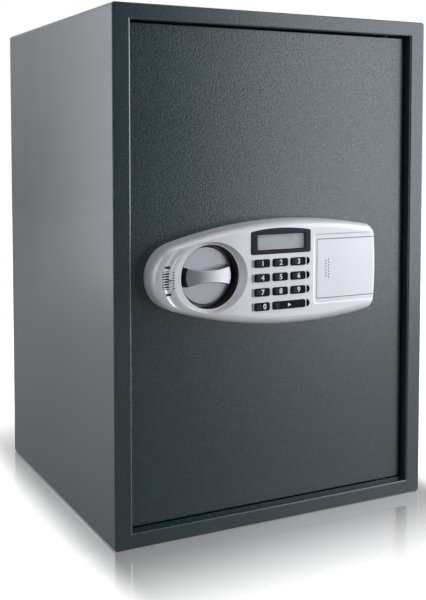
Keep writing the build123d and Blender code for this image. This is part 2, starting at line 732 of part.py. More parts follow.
def boss_positions():
    """Screw bosses of the panel: beside the keypad, at the right end and in the nose."""
    left = DISPLAY_LEFT - BOSS_LEFT_OF_DISPLAY
    right = PANEL_RIGHT - BOSS_FROM_RIGHT
    left_spread = PANEL_HALF_HEIGHT - BOSS_FROM_CROWN
    right_spread = PANEL_HALF_HEIGHT - BOSS_FROM_CORNER
    nose = PANEL_LEFT + BOSS_FROM_NOSE
    return ((left, -left_spread), (left, left_spread), (right, -right_spread), (right, right_spread),
            (nose, 0))


def board_post_positions():
    x0, x1, z0, z1 = KEYPAD_BOARD
    upper = DISPLAY_BOTTOM - DISPLAY_LIP - MOULD_GAP - BOARD_POST_RADIUS - 0.1
    lower = z0 + BOARD_POST_RADIUS + 1
    return [(x, z) for x in (x0 + 2.5, x1 - 4) for z in (lower, upper)]


def display_outline(grow):
    """The display's frame: a rectangle under a low arch."""
    x0 = DISPLAY_LEFT - grow
    x1 = DISPLAY_RIGHT + grow
    z0 = DISPLAY_BOTTOM - grow
    shoulder = DISPLAY_SHOULDER + grow
    line = Polyline((x0, shoulder), (x0, z0), (x1, z0), (x1, shoulder))
    line += ThreePointArc((x1, shoulder), ((x0 + x1) / 2, DISPLAY_TOP + grow), (x0, shoulder))
    face = make_face(line)
    return fillet(face.vertices(), DISPLAY_CORNER + grow)


def key_layout():
    """Each key's node name, centre and width."""
    places = {}
    columns = [KEY_MIDDLE_X - KEY_PITCH_X, KEY_MIDDLE_X, KEY_MIDDLE_X + KEY_PITCH_X]
    for digit in range(1, 10):
        row, column = divmod(digit - 1, 3)
        places[f"key_{digit}"] = (columns[column], KEY_TOP_ROW - row * KEY_PITCH_Z, KEY_WIDTH)
    places["key_0"] = (columns[0], KEY_LAST_ROW, KEY_WIDTH)
    places["key_start"] = ((columns[1] + columns[2]) / 2, KEY_LAST_ROW, KEY_WIDTH + KEY_PITCH_X)
    return places


def key_outline(place, grow):
    x, z, width = place
    return Pos(x, z) * RectangleRounded(width + 2 * grow, KEY_HEIGHT + 2 * grow, KEY_CORNER + grow)


def scoop(x, z, side):
    """A half-round finger scoop that deepens towards the keys."""
    outer = x + side * SCOOP_RADIUS
    wedge = Polyline((outer, PANEL_FRONT - 1), (outer, PANEL_FRONT), (x, PANEL_FRONT + SCOOP_DEPTH),
                     (x, PANEL_FRONT - 1), (outer, PANEL_FRONT - 1))
    slab = prism_z(make_face(wedge), z - SCOOP_RADIUS, z + SCOOP_RADIUS)
    return slab & rod_y(x, PANEL_FRONT - 2, PANEL_FRONT + SCOOP_DEPTH + 1, z, SCOOP_RADIUS)


def scoops():
    first = KEY_MIDDLE_X - KEY_PITCH_X - KEY_WIDTH / 2 - SCOOP_GAP_LEFT
    last = KEY_MIDDLE_X + KEY_PITCH_X + KEY_WIDTH / 2 + SCOOP_GAP_RIGHT
    rows = [KEY_TOP_ROW - row * KEY_PITCH_Z for row in range(KEY_ROWS)]
    return [scoop(x, z, side) for z in rows for x, side in ((first, -1), (last, 1))]


def cover_region(grow, y0, y1):
    """The battery cover's patch of the panel, open at the panel's right end."""
    patch = rounded_block(COVER_LEFT - grow, PANEL_RIGHT + 20, y0, y1,
                          COVER_BOTTOM - grow, COVER_TOP + grow, COVER_CORNER + grow)
    return patch


def cover_step_outline(grow, y):
    outline = rounded_rectangle(COVER_LEFT - COVER_STEP_MARGIN_X - grow, PANEL_RIGHT + 20,
                                COVER_BOTTOM - COVER_STEP_MARGIN_Z - grow,
                                COVER_TOP + COVER_STEP_MARGIN_Z + grow, COVER_CORNER + 1 + grow)
    return front_plane(y) * outline


def cover_step():
    """The shallow step with sloped sides that surrounds the battery cover."""
    rise = COVER_STEP_SLOPE / COVER_STEP
    above = 1.0
    return loft([cover_step_outline(COVER_STEP_SLOPE + above * rise, PANEL_FRONT - above),
                 cover_step_outline(0, PANEL_FRONT + COVER_STEP)])


def span(a, b):
    return min(a, b), max(a, b)


def cover_edges():
    """The battery cover's lower and upper edge, each with the side it faces."""
    return ((-1, COVER_BOTTOM + COVER_GAP / 2), (1, COVER_TOP - COVER_GAP / 2))


def hook_rails():
    """Short rails behind the edges of the cover's opening. The hooks slide out from under them."""
    rails = []
    for side, edge in cover_edges():
        z0, z1 = span(edge - side * HOOK_RAIL_REACH, edge + side * HOOK_RAIL_SEAT)
        for inset in HOOK_INSETS:
            x0 = COVER_LEFT + inset
            x1 = x0 + HOOK_LENGTH
            rails.append(block(x0 - MOULD_GAP, x1, PANEL_INNER, PANEL_INNER + HOOK_SHEET, z0, z1))
    return rails


def cover_hooks():
    """Hooks inside the battery cover: a stem and a foot that lies behind the rail."""
    hooks = []
    front = PANEL_FRONT + COVER_STEP
    for side, edge in cover_edges():
        outer = edge - side * (HOOK_RAIL_REACH + MOULD_GAP)
        inner = outer - side * HOOK_SHEET
        z0, z1 = span(inner, outer)
        foot0, foot1 = span(inner, edge)
        for inset in HOOK_INSETS:
            x0 = COVER_LEFT + inset
            x1 = x0 + HOOK_LENGTH
            hook = block(x0, x1, front, HOOK_FOOT_FRONT + HOOK_SHEET, z0, z1)
            hooks.append(hook + block(x0, x1, HOOK_FOOT_FRONT, HOOK_FOOT_FRONT + HOOK_SHEET, foot0, foot1))
    return hooks


def faceplate_housing():
    housing = panel_form(0) - panel_form(PANEL_WALL)
    housing += crater_wall() & panel_form(0)
    for x, z in boss_positions():
        boss = rod_y(x, PANEL_FRONT, DOOR_FRONT, z, BOSS_RADIUS) & panel_form(0)
        housing += boss - rod_y(x, DOOR_FRONT - SCREW_LENGTH, DOOR_FRONT + 1, z, SCREW_RADIUS)
    for x, z in board_post_positions():
        housing += rod_y(x, PANEL_INNER - 0.5, BOARD_FRONT, z, BOARD_POST_RADIUS)
    housing -= crater()
    housing -= rod_y(KNOB_X, WELL_FLOOR - 1, DOOR_FRONT, 0, HUB_RADIUS + MOULD_GAP)
    housing -= valley()
    housing -= prism_y(display_outline(MOULD_GAP), PANEL_FRONT - 1, PANEL_INNER + 1)
    for place in key_layout().values():
        housing -= prism_y(key_outline(place, KEY_GAP), PANEL_FRONT - 1, PANEL_INNER + 1)
    for pocket in scoops():
        housing -= pocket
    housing -= cover_step()
    housing -= cover_region(COVER_GAP / 2, PANEL_FRONT - 1, PANEL_FRONT + COVER_SKIRT + MOULD_GAP)
    for rail in hook_rails():
        housing += rail
    return housing


def faceplate_screws():
    """Screws put in from behind the door plate."""
    screws = []
    for x, z in boss_positions():
        screw = rod_y(x, DOOR_FRONT - SCREW_LENGTH + 1, DOOR_BACK, z, SCREW_RADIUS)
        screw += rod_y(x, DOOR_BACK, DOOR_BACK + SCREW_HEAD_HEIGHT, z, SCREW_HEAD_RADIUS)
        screws.append(screw)
    return group(screws)


def lcd_bezel():
    front = PANEL_FRONT - DISPLAY_PROUD
    bezel = prism_y(display_outline(0), front, PANEL_INNER + MOULD_GAP)
    bezel = fillet(front_outer_edges(bezel), DISPLAY_PROUD * 0.8)
    lip = prism_y(display_outline(DISPLAY_LIP), PANEL_INNER + MOULD_GAP, PANEL_INNER + 1)
    bezel += lip & block(DISPLAY_LEFT - 5, DISPLAY_RIGHT + 5, PANEL_FRONT, BOARD_FRONT,
                         DISPLAY_BOTTOM - 5, DISPLAY_SHOULDER - DISPLAY_LIP_DROP)
    window = window_block(0, front - 1, PANEL_INNER + 2)
    bezel -= window
    rim = bezel.faces().sort_by(Axis.Y)[0].inner_wires()[0].edges()
    return chamfer(rim, WINDOW_BEVEL)


def window_block(shrink, y0, y1):
    half_width = WINDOW_WIDTH / 2 - shrink
    half_height = WINDOW_HEIGHT / 2 - shrink
    return block(WINDOW_CENTRE_X - half_width, WINDOW_CENTRE_X + half_width, y0, y1,
                 WINDOW_CENTRE_Z - half_height, WINDOW_CENTRE_Z + half_height)


def window_back():
    return PANEL_FRONT + WINDOW_SINK + WINDOW_GLASS


def lcd_window():
    return window_block(PIN_FIT, PANEL_FRONT + WINDOW_SINK, window_back())


def lcd_module():
    body = window_block(0, PANEL_INNER + 1, BOARD_FRONT)
    return body + window_block(PIN_FIT, window_back(), PANEL_INNER + 2)


def keypad_board():
    x0, x1, z0, z1 = KEYPAD_BOARD
    board = rounded_block(x0, x1, BOARD_FRONT, BOARD_FRONT + BOARD_SHEET, z0, z1, 1)
    back = BOARD_FRONT + BOARD_SHEET
    half_width = CONNECTOR_WIDTH / 2
    half_height = CONNECTOR_HEIGHT / 2
    return board + block(HARNESS_X - half_width, HARNESS_X + half_width, back, back + CONNECTOR_DEPTH,
                         HARNESS_Z - half_height, HARNESS_Z + half_height)


def key_domes():
    """A rubber sheet on the board with a dome under each key."""
    places = key_layout()
    x0, x1, z0, z1 = KEYPAD_BOARD
    top = KEY_TOP_ROW + KEY_HEIGHT / 2
    margin = 2 * BOARD_POST_RADIUS + 3
    sheet = block(x0 + margin + 1, x1 - margin - 2, BOARD_FRONT - DOME_SHEET, BOARD_FRONT, z0 + margin + 1,
                  top - 1)
    for x, z, _ in places.values():
        sheet += rod_y(x, BOARD_FRONT - DOME_HEIGHT, BOARD_FRONT, z, DOME_RADIUS)
    return sheet


def key(place):
    x, z, _ = place
    front = PANEL_FRONT - KEY_PROUD
    flange_front = PANEL_INNER + MOULD_GAP
    flange_back = flange_front + KEY_FLANGE_SHEET
    cap = prism_y(key_outline(place, 0), front, flange_back)
    cap = fillet(front_outer_edges(cap), KEY_EDGE)
    cap += prism_y(key_outline(place, KEY_FLANGE), flange_front, flange_back)
    stem_end = BOARD_FRONT - DOME_HEIGHT - KEY_TRAVEL - MOULD_GAP
    return cap + rod_y(x, flange_back, stem_end, z, KEY_STEM)


# Battery compartment

def battery_cover():
    skirt_end = PANEL_FRONT + COVER_SKIRT
    patch = cover_region(-COVER_GAP / 2, PANEL_FRONT + COVER_STEP, skirt_end)
    cover = (panel_form(0) - panel_form(PANEL_WALL - MOULD_GAP)) & patch
    for hook in cover_hooks():
        cover += hook
    return cover


def cell_heights():
    middle = (CELL_COUNT - 1) / 2
    return [COVER_MIDDLE + (i - middle) * CELL_PITCH for i in range(CELL_COUNT)]


def tray_ends():
    """The tray's inside, from its left wall to its right wall."""
    left = TRAY_LEFT + TRAY_WALL
    return left, left + TRAY_INSIDE


def battery_tray():
    left, right = tray_ends()
    z0 = COVER_MIDDLE - TRAY_HALF
    z1 = COVER_MIDDLE + TRAY_HALF
    tray = block(TRAY_LEFT, right + TRAY_WALL, TRAY_FRONT, TRAY_BACK, z0, z1)
    tray -= block(left, right, TRAY_FRONT - 1, TRAY_BACK - TRAY_FLOOR, z0 + TRAY_WALL, z1 - TRAY_WALL)
    return tray


def cell_start(index):
    """Where a cell starts, and which way its nub points: they alternate."""
    left, right = tray_ends()
    gap = CONTACT_SPACE - CONTACT_SHEET
    if index % 2 == 0:
        return left + gap, 1
    return right - gap, -1


def battery_cells():
    cells = []
    for index, z in enumerate(cell_heights()):
        start, way = cell_start(index)
        end = start + way * CELL_LENGTH
        tip = end + way * CELL_NUB
        cell = rod_x(min(start, end), max(start, end), CELL_Y, z, CELL_RADIUS)
        cell = fillet(cell.edges().filter_by(GeomType.CIRCLE), CELL_EDGE)
        cells.append(cell + rod_x(min(end, tip), max(end, tip), CELL_Y, z, CELL_NUB_RADIUS))
    return group(cells)


def contact_spring(x0, x1, z):
    """A short coil spring, wound on an X axis between a plate and a cell."""
    length = x1 - x0 - 2 * SPRING_WIRE
    path = Helix(pitch=length / SPRING_TURNS, height=length, radius=SPRING_RADIUS - 1)
    section = Plane(origin=path @ 0, z_dir=path % 0) * Circle(SPRING_WIRE)
    coil = sweep(section, path)
    return Pos(x0 + SPRING_WIRE, CELL_Y, z) * Rot(0, 90, 0) * coil


def battery_contacts():
    """A plate at each cell's ends, with a coil spring on its flat end."""
    left, right = tray_ends()
    half = CELL_RADIUS - CELL_EDGE
    solids = []
    for index, z in enumerate(cell_heights()):
        start, way = cell_start(index)
        for x0 in (left, right - CONTACT_SHEET):
            solids.append(block(x0, x0 + CONTACT_SHEET, CELL_Y - half, CELL_Y + half, z - half, z + half))
        wall = left + CONTACT_SHEET if way > 0 else right - CONTACT_SHEET
        solids.append(contact_spring(min(wall, start), max(wall, start), z))
    return group(solids)


# Knob, shaft and drive cam

def knob():
    disc = rod_y(KNOB_X, KNOB_FACE, KNOB_BACK, 0, KNOB_RADIUS)
    disc = fillet(front_outer_edges(disc), 0.8)
    body = disc + grip()
    body += rod_y(KNOB_X, KNOB_BACK, DOOR_FRONT - SHAFT_BUSH_LIP - MOULD_GAP, 0, HUB_RADIUS)
    shaft_end = DOOR_FRONT
    return body - rod_y(KNOB_X, KNOB_FACE - SHAFT_IN_KNOB, shaft_end, 0, SHAFT_RADIUS)


def grip():
    """A bow-tie bar across the disc, crowned along its length and sloped at its ends."""
    reach = KNOB_RADIUS + 1
    waist = GRIP_WAIST / 2
    end = GRIP_END / 2
    line = ThreePointArc((-reach, end), (0, waist), (reach, end))
    line += Line((reach, end), (reach, -end))
    line += ThreePointArc((reach, -end), (0, -waist), (-reach, -end))
    line += Line((-reach, -end), (-reach, end))
    outline = Pos(KNOB_X, 0) * make_face(line)
    front = KNOB_FACE - GRIP_HEIGHT
    bar = prism_y(outline, front, KNOB_FACE + 1)
    crown = rod_z(KNOB_X, front + GRIP_CROWN, -end - 1, end + 1, GRIP_CROWN)
    dome = Cone(KNOB_RADIUS - 0.8, KNOB_RADIUS - 5.3, GRIP_HEIGHT + 1)
    dome = Pos(KNOB_X, KNOB_FACE + 1 - (GRIP_HEIGHT + 1) / 2, 0) * Rot(90, 0, 0) * dome
    bar = bar & crown & dome
    top = bar.faces().sort_by(Axis.Y)[0]
    return fillet(top.edges(), GRIP_EDGE)


def knob_shaft():
    return rod_y(KNOB_X, KNOB_FACE - SHAFT_IN_KNOB, CAM_FRONT + CAM_SHEET, 0, SHAFT_RADIUS)


def shaft_bush():
    bush = rod_y(KNOB_X, DOOR_FRONT, DOOR_BACK, 0, SHAFT_BUSH_RADIUS)
    bush += rod_y(KNOB_X, DOOR_FRONT - SHAFT_BUSH_LIP, DOOR_FRONT, 0, SHAFT_BUSH_FLANGE)
    return bush - rod_y(KNOB_X, DOOR_FRONT - 2, DOOR_BACK + 1, 0, SHAFT_RADIUS + PIN_FIT)


def drive_cam():
    """A disc on the shaft whose pin drives the bolt carriage."""
    rim = DRIVE_RADIUS + DRIVE_PIN_RADIUS + CAM_RIM
    cam = rod_y(KNOB_X, CAM_FRONT, CAM_BACK, 0, rim)
    cam += rod_y(DRIVE_PIN_X, CAM_BACK, CARRIAGE_BACK + DRIVE_PIN_REACH, DRIVE_PIN_Z, DRIVE_PIN_RADIUS)
    return cam - rod_y(KNOB_X, CAM_FRONT - 1, CAM_BACK, 0, SHAFT_RADIUS)


# Locking bolts

def stud_heights():
    return (-STUD_SPREAD, STUD_SPREAD)


def slide_slot(x, z, radius, y0, y1):
    """A slot for a fixed stud, as long as the bolts' travel."""
    slot = block(x, x + BOLT_TRAVEL, y0, y1, z - radius, z + radius)
    return slot + rod_y(x, y0, y1, z, radius) + rod_y(x + BOLT_TRAVEL, y0, y1, z, radius)


def tooth_right():
    """The tooth's right face, which the raised plunger stops once the bolts are out."""
    return SOLENOID_X - PLUNGER_RADIUS - DRIVE_SLOT_SPACE + BOLT_TRAVEL


def tooth_left():
    return SOLENOID_X + PLUNGER_RADIUS + DRIVE_SLOT_SPACE


def carriage_tooth():
    bottom = TOOTH_BOTTOM
    left = tooth_left()
    right = tooth_right()
    outline = Polygon((left, ARM_BOTTOM), (right, ARM_BOTTOM), (right, bottom), (left + TOOTH_RAMP, bottom),
                      (left, bottom + TOOTH_RAMP), align=None)
    return prism_y(outline, CARRIAGE_FRONT, CARRIAGE_BACK)


def bolt_carriage():
    z0 = -CARRIAGE_HALF_HEIGHT
    z1 = CARRIAGE_HALF_HEIGHT
    bar_right = CARRIAGE_FLANGE_X + CARRIAGE_BAR
    plate = rounded_block(CARRIAGE_FLANGE_X, bar_right, CARRIAGE_FRONT, CARRIAGE_BACK, z0, z1, 2)
    plate += rounded_block(bar_right - 10, ARM_RIGHT_X, CARRIAGE_FRONT, CARRIAGE_BACK,
                           ARM_BOTTOM, ARM_TOP, 3)
    plate += block(CARRIAGE_FLANGE_X, CARRIAGE_FLANGE_X + CARRIAGE_SHEET, CARRIAGE_FRONT,
                   CARRIAGE_FRONT + CARRIAGE_FLANGE_DEPTH, z0, z1)
    plate += carriage_tooth()
    y0 = CARRIAGE_FRONT - 1
    y1 = CARRIAGE_BACK + 1
    for z in stud_heights():
        plate -= slide_slot(STUD_X, z, STUD_RADIUS + BORE_FIT, y0, y1)
    half = DRIVE_PIN_RADIUS + DRIVE_SLOT_SPACE
    slot_top = DRIVE_RADIUS
    plate -= block(DRIVE_PIN_X - half, DRIVE_PIN_X + half, y0, y1, DRIVE_PIN_Z, slot_top)
    plate -= rod_y(DRIVE_PIN_X, y0, y1, DRIVE_PIN_Z, half)
    plate -= rod_y(DRIVE_PIN_X, y0, y1, slot_top, half)
    for z in BOLT_HEIGHTS:
        plate -= rod_x(CARRIAGE_FLANGE_X - 1, CARRIAGE_FLANGE_X + CARRIAGE_SHEET + 1, BOLT_Y, z, BOLT_SPIGOT)
    return plate


def locking_bolts():
    bolts = []
    nut_end = CARRIAGE_FLANGE_X + CARRIAGE_SHEET + NUT_HEIGHT + 1
    for z in BOLT_HEIGHTS:
        bolt = rod_x(BOLT_END_X, CARRIAGE_FLANGE_X, BOLT_Y, z, BOLT_RADIUS)
        tip = bolt.faces().sort_by(Axis.X)[0]
        bolt = chamfer(tip.edges(), BOLT_CHAMFER)
        bolts.append(bolt + rod_x(CARRIAGE_FLANGE_X, nut_end, BOLT_Y, z, BOLT_SPIGOT))
    return group(bolts)


def bolt_nuts():
    nuts = []
    x0 = CARRIAGE_FLANGE_X + CARRIAGE_SHEET
    for z in BOLT_HEIGHTS:
        nut = hexagon_x(x0, x0 + NUT_HEIGHT, BOLT_Y, z, NUT_ACROSS)
        nuts.append(nut - rod_x(x0 - 1, x0 + NUT_HEIGHT + 1, BOLT_Y, z, BOLT_SPIGOT))
    return group(nuts)


def bolt_guide():
    """A bracket on the door through which the bolts slide."""
    z0 = -CARRIAGE_HALF_HEIGHT
    z1 = CARRIAGE_HALF_HEIGHT
    right = GUIDE_PLATE_X + GUIDE_SHEET
    guide = block(GUIDE_PLATE_X, right, DOOR_BACK, DOOR_BACK + GUIDE_REACH, z0, z1)
    guide += block(GUIDE_PLATE_X, right + GUIDE_FOOT, DOOR_BACK, DOOR_BACK + GUIDE_FOOT_SHEET, z0, z1)
    for z in BOLT_HEIGHTS:
        guide -= rod_x(GUIDE_PLATE_X - 1, right + 1, BOLT_Y, z, BOLT_RADIUS + BORE_FIT)
    return guide


def guide_studs():
    """Shouldered studs on the door that carry the carriage."""
    studs = []
    shoulder = CARRIAGE_FRONT - BORE_FIT
    for z in stud_heights():
        stud = rod_y(STUD_X, DOOR_BACK, shoulder, z, STUD_SHOULDER)
        studs.append(stud + rod_y(STUD_X, shoulder, CARRIAGE_BACK + BORE_FIT + STUD_CAP + 1, z, STUD_RADIUS))
    return group(studs)


def guide_nuts():
    nuts = []
    y0 = CARRIAGE_BACK + BORE_FIT
    for z in stud_heights():
        nut = rod_y(STUD_X, y0, y0 + 1, z, STUD_CAP_RADIUS)
        nut += hexagon_y(STUD_X, y0 + 1, y0 + STUD_CAP, z, STUD_NUT_ACROSS)
        nuts.append(nut - rod_y(STUD_X, y0 - 1, y0 + STUD_CAP + 1, z, STUD_RADIUS))
    return group(nuts)


# Solenoid

def coil_ends():
    bottom = SOLENOID_BOTTOM + SOLENOID_SHEET
    return bottom, bottom + COIL_HEIGHT


def solenoid_bracket():
    """A bracket round the coil, screwed flat on the door."""
    half = SOLENOID_WIDTH / 2
    reach = SOLENOID_Y + COIL_RADIUS + 1
    bottom, top = coil_ends()
    x0 = SOLENOID_X - half
    x1 = SOLENOID_X + half
    bracket = block(x0, x1, DOOR_BACK, DOOR_BACK + SOLENOID_SHEET, SOLENOID_BOTTOM, top + SOLENOID_SHEET)
    bracket += block(x0, x1, DOOR_BACK, reach, SOLENOID_BOTTOM, bottom)
    bracket += block(x0, x1, DOOR_BACK, reach, top, top + SOLENOID_SHEET)
    bore = PLUNGER_RADIUS + BORE_FIT
    return bracket - rod_z(SOLENOID_X, SOLENOID_Y, top - 1, top + SOLENOID_SHEET + 1, bore)


def solenoid_coil():
    bottom, top = coil_ends()
    coil = rod_z(SOLENOID_X, SOLENOID_Y, bottom, top, COIL_RADIUS)
    return coil - rod_z(SOLENOID_X, SOLENOID_Y, PLUNGER_START - 2, top + 1, PLUNGER_RADIUS + BORE_FIT)


def solenoid_plunger():
    plunger = rod_z(SOLENOID_X, SOLENOID_Y, PLUNGER_START, PLUNGER_TIP, PLUNGER_RADIUS)
    tip = plunger.faces().sort_by(Axis.Z)[-1]
    plunger = chamfer(tip.edges(), 0.5)
    collar_top = COLLAR_BOTTOM + COLLAR_SHEET
    return plunger + rod_z(SOLENOID_X, SOLENOID_Y, COLLAR_BOTTOM, collar_top, COLLAR_RADIUS)


def plunger_spring():
    """A coil spring between the bracket and the plunger's collar, pressed short."""
    z0 = SOLENOID_TOP + SPRING_WIRE
    length = COLLAR_BOTTOM - SPRING_WIRE - z0
    path = Helix(pitch=length / SPRING_TURNS, height=length, radius=SPRING_RADIUS)
    section = Plane(origin=path @ 0, z_dir=path % 0) * Circle(SPRING_WIRE)
    return Pos(SOLENOID_X, SOLENOID_Y, z0) * sweep(section, path)


# Electronics on the door

def control_board():
    x0, x1, z0, z1 = CONTROL_BOARD
    y0 = DOOR_BACK + CONTROL_BEHIND_DOOR
    y1 = y0 + BOARD_SHEET
    board = rounded_block(x0, x1, y0, y1, z0, z1, 2)
    for across, up, width, height, depth in CONTROL_COMPONENTS:
        x = x0 + across
        z = z0 + up
        board += block(x - width / 2, x + width / 2, y1, y1 + depth, z - height / 2, z + height / 2)
    half = CONNECTOR_HEIGHT / 2
    lead_space = HARNESS_BEFORE_BOARD + HARNESS_RADIUS + CONNECTOR_WALL
    return board + block(x0, x0 + CONNECTOR_HEIGHT, y0 - lead_space, y0, HARNESS_Z - half, HARNESS_Z + half)


def board_posts():
    x0, x1, z0, z1 = CONTROL_BOARD
    inset = POST_RADIUS + POST_MARGIN
    y1 = DOOR_BACK + CONTROL_BEHIND_DOOR
    return [rod_y(x, DOOR_BACK, y1, z, POST_RADIUS)
            for x in (x0 + POST_FROM_LEFT, x1 - inset) for z in (z0 + inset, z1 - inset)]


def cover_post_positions():
    x0, x1, z0, z1 = LOCK_COVER
    inset = COVER_POST_INSET
    return [(x, z) for x in (x0 + 2 * inset, x1 - inset) for z in (z0 + inset, z1 - inset)]


def cover_posts():
    y1 = LOCK_COVER_BACK - LOCK_COVER_SHEET
    posts = []
    for x, z in cover_post_positions():
        post = rod_y(x, DOOR_BACK, y1, z, COVER_POST_RADIUS)
        posts.append(post - rod_y(x, y1 - COVER_SCREW_LENGTH - 1, y1 + 1, z, COVER_SCREW_RADIUS))
    return posts


def welded_posts():
    """Posts on the door for the control board and the lock cover."""
    return group(board_posts() + cover_posts())


def harness():
    """The lead from the keypad board through the door to the control board."""
    x0 = CONTROL_BOARD[0]
    start_y = BOARD_FRONT + BOARD_SHEET + CONNECTOR_DEPTH
    turn_y = DOOR_BACK + CONTROL_BEHIND_DOOR - HARNESS_BEFORE_BOARD
    z = HARNESS_Z
    corner = (HARNESS_X, turn_y, z)
    path = FilletPolyline((HARNESS_X, start_y, z), corner, (x0, turn_y, z), radius=HARNESS_BEND)
    section = Plane(origin=(HARNESS_X, start_y, z), z_dir=(0, 1, 0)) * Circle(HARNESS_RADIUS)
    return sweep(section, path)


# Override lock

def override_lock_body():
    back = DOOR_BACK + OVERRIDE_BEHIND_DOOR
    front = DOOR_FRONT - OVERRIDE_HEAD_SHEET
    body = rod_y(OVERRIDE_X, DOOR_FRONT, back, OVERRIDE_Z, OVERRIDE_BODY)
    body += rod_y(OVERRIDE_X, front, DOOR_FRONT, OVERRIDE_Z, OVERRIDE_HEAD)
    body -= rod_y(OVERRIDE_X, front - 1, back + 1, OVERRIDE_Z, OVERRIDE_PLUG + PIN_FIT)
    return body


def override_nut():
    y1 = DOOR_BACK + OVERRIDE_NUT
    nut = hexagon_y(OVERRIDE_X, DOOR_BACK, y1, OVERRIDE_Z, OVERRIDE_NUT_ACROSS)
    return nut - rod_y(OVERRIDE_X, DOOR_BACK - 1, y1 + 1, OVERRIDE_Z, OVERRIDE_BODY)


def override_plug():
    front = DOOR_FRONT - OVERRIDE_HEAD_SHEET - OVERRIDE_PLUG_PROUD
    back = DOOR_BACK + OVERRIDE_BEHIND_DOOR + MOULD_GAP + OVERRIDE_CAM_SHEET
    plug = rod_y(OVERRIDE_X, front, back, OVERRIDE_Z, OVERRIDE_PLUG)
    width, height, depth = KEYWAY
    return plug - block(OVERRIDE_X - width / 2, OVERRIDE_X + width / 2, front - 1, front + depth,
                        OVERRIDE_Z - height / 2, OVERRIDE_Z + height / 2)


def override_cam():
    """A lever on the plug's inner end that points up at rest."""
    y0 = DOOR_BACK + OVERRIDE_BEHIND_DOOR + MOULD_GAP
    y1 = y0 + OVERRIDE_CAM_SHEET
    half = OVERRIDE_CAM_WIDTH / 2
    cam = rod_y(OVERRIDE_X, y0, y1, OVERRIDE_Z, OVERRIDE_PLUG + 2.5)
    cam += block(OVERRIDE_X - half, OVERRIDE_X + half, y0, y1, OVERRIDE_Z, OVERRIDE_Z + OVERRIDE_CAM_LENGTH)
    return cam - rod_y(OVERRIDE_X, y0 - 1, y1 + 1, OVERRIDE_Z, OVERRIDE_PLUG)


# Lock cover

def lock_cover():
    """A folded sheet box over the lock work, open towards the door."""
    x0, x1, z0, z1 = LOCK_COVER
    sheet = LOCK_COVER_SHEET
    cover = rounded_block(x0, x1, DOOR_BACK, LOCK_COVER_BACK, z0, z1, LOCK_COVER_CORNER)
    cover -= rounded_block(x0 + sheet, x1 - sheet, DOOR_BACK - 1, LOCK_COVER_BACK - sheet,
                           z0 + sheet, z1 - sheet, LOCK_COVER_CORNER - sheet)
    back_face = cover.faces().sort_by(Axis.Y)[-1]
    cover = fillet(back_face.outer_wire().edges(), 1.0)
    for z in BOLT_HEIGHTS:
        cover -= rod_x(x0 - 1, x0 + sheet + 2, BOLT_Y, z, BOLT_RADIUS + BOLT_HOLE_SPACE)
    for x, z in cover_post_positions():
        cover -= rod_y(x, LOCK_COVER_BACK - sheet - 1, LOCK_COVER_BACK + 1, z, COVER_SCREW_RADIUS + MOULD_GAP)
    return cover - rod_y(RESET_X, LOCK_COVER_BACK - sheet - 1, LOCK_COVER_BACK + 1, RESET_Z, RESET_BODY)


def cover_screws():
    screws = []
    for x, z in cover_post_positions():
        y1 = LOCK_COVER_BACK
        screw = rod_y(x, y1 - LOCK_COVER_SHEET - COVER_SCREW_LENGTH, y1, z, COVER_SCREW_RADIUS)
        screw += rod_y(x, y1, y1 + SCREW_HEAD_HEIGHT, z, COVER_SCREW_HEAD)
        screws.append(screw)
    return group(screws)


def reset_switch():
    """A panel switch clamped in the lock cover."""
    y1 = LOCK_COVER_BACK
    bezel_back = y1 + RESET_BEZEL_SHEET
    switch = rod_y(RESET_X, y1 - RESET_DEPTH, bezel_back, RESET_Z, RESET_BODY)
    switch += rod_y(RESET_X, y1, bezel_back, RESET_Z, RESET_BEZEL)
    bore_bottom = y1 + RESET_PROUD - RESET_BUTTON_LENGTH - RESET_TRAVEL - 1
    return switch - rod_y(RESET_X, bore_bottom, bezel_back + 1, RESET_Z, RESET_BUTTON + BORE_FIT)


def reset_button():
    end = LOCK_COVER_BACK + RESET_PROUD
    button = rod_y(RESET_X, end - RESET_BUTTON_LENGTH, end, RESET_Z, RESET_BUTTON)
    return fillet(button.faces().sort_by(Axis.Y)[-1].edges(), RESET_BUTTON_EDGE)


CABINET_AND_DOOR = {
    "body_wrap": body_wrap,
    "back_panel": back_panel,
    "front_frame": front_frame,
    "frame_bushes": frame_bushes,
    "door_stops": door_stops,
    "shelf": shelf,
    "shelf_rails": shelf_rails,
    "floor_mat": floor_mat,
    "door_plate": door_plate,
    "hinge_pins": hinge_pins,
    "hinge_blocks": hinge_blocks,
    "hinge_washer": hinge_washer,
}

LOCK = {
    "faceplate_housing": faceplate_housing,
    "faceplate_screws": faceplate_screws,
    "lcd_bezel": lcd_bezel,
    "lcd_window": lcd_window,
    "lcd_module": lcd_module,
    "keypad_board": keypad_board,
    "key_domes": key_domes,
    "battery_cover": battery_cover,
    "battery_tray": battery_tray,
    "battery_cells": battery_cells,
    "battery_contacts": battery_contacts,
    "knob": knob,
    "knob_shaft": knob_shaft,
    "shaft_bush": shaft_bush,
    "drive_cam": drive_cam,
    "bolt_carriage": bolt_carriage,
    "locking_bolts": locking_bolts,
    "bolt_nuts": bolt_nuts,
    "bolt_guide": bolt_guide,
    "guide_studs": guide_studs,
    "guide_nuts": guide_nuts,
    "solenoid_bracket": solenoid_bracket,
    "solenoid_coil": solenoid_coil,
    "solenoid_plunger": solenoid_plunger,
    "plunger_spring": plunger_spring,
    "control_board": control_board,
    "welded_posts": welded_posts,
    "harness": harness,
    "override_lock_body": override_lock_body,
    "override_nut": override_nut,
    "override_plug": override_plug,
    "override_cam": override_cam,
    "lock_cover": lock_cover,
    "cover_screws": cover_screws,
    "reset_switch": reset_switch,
    "reset_button": reset_button,
}


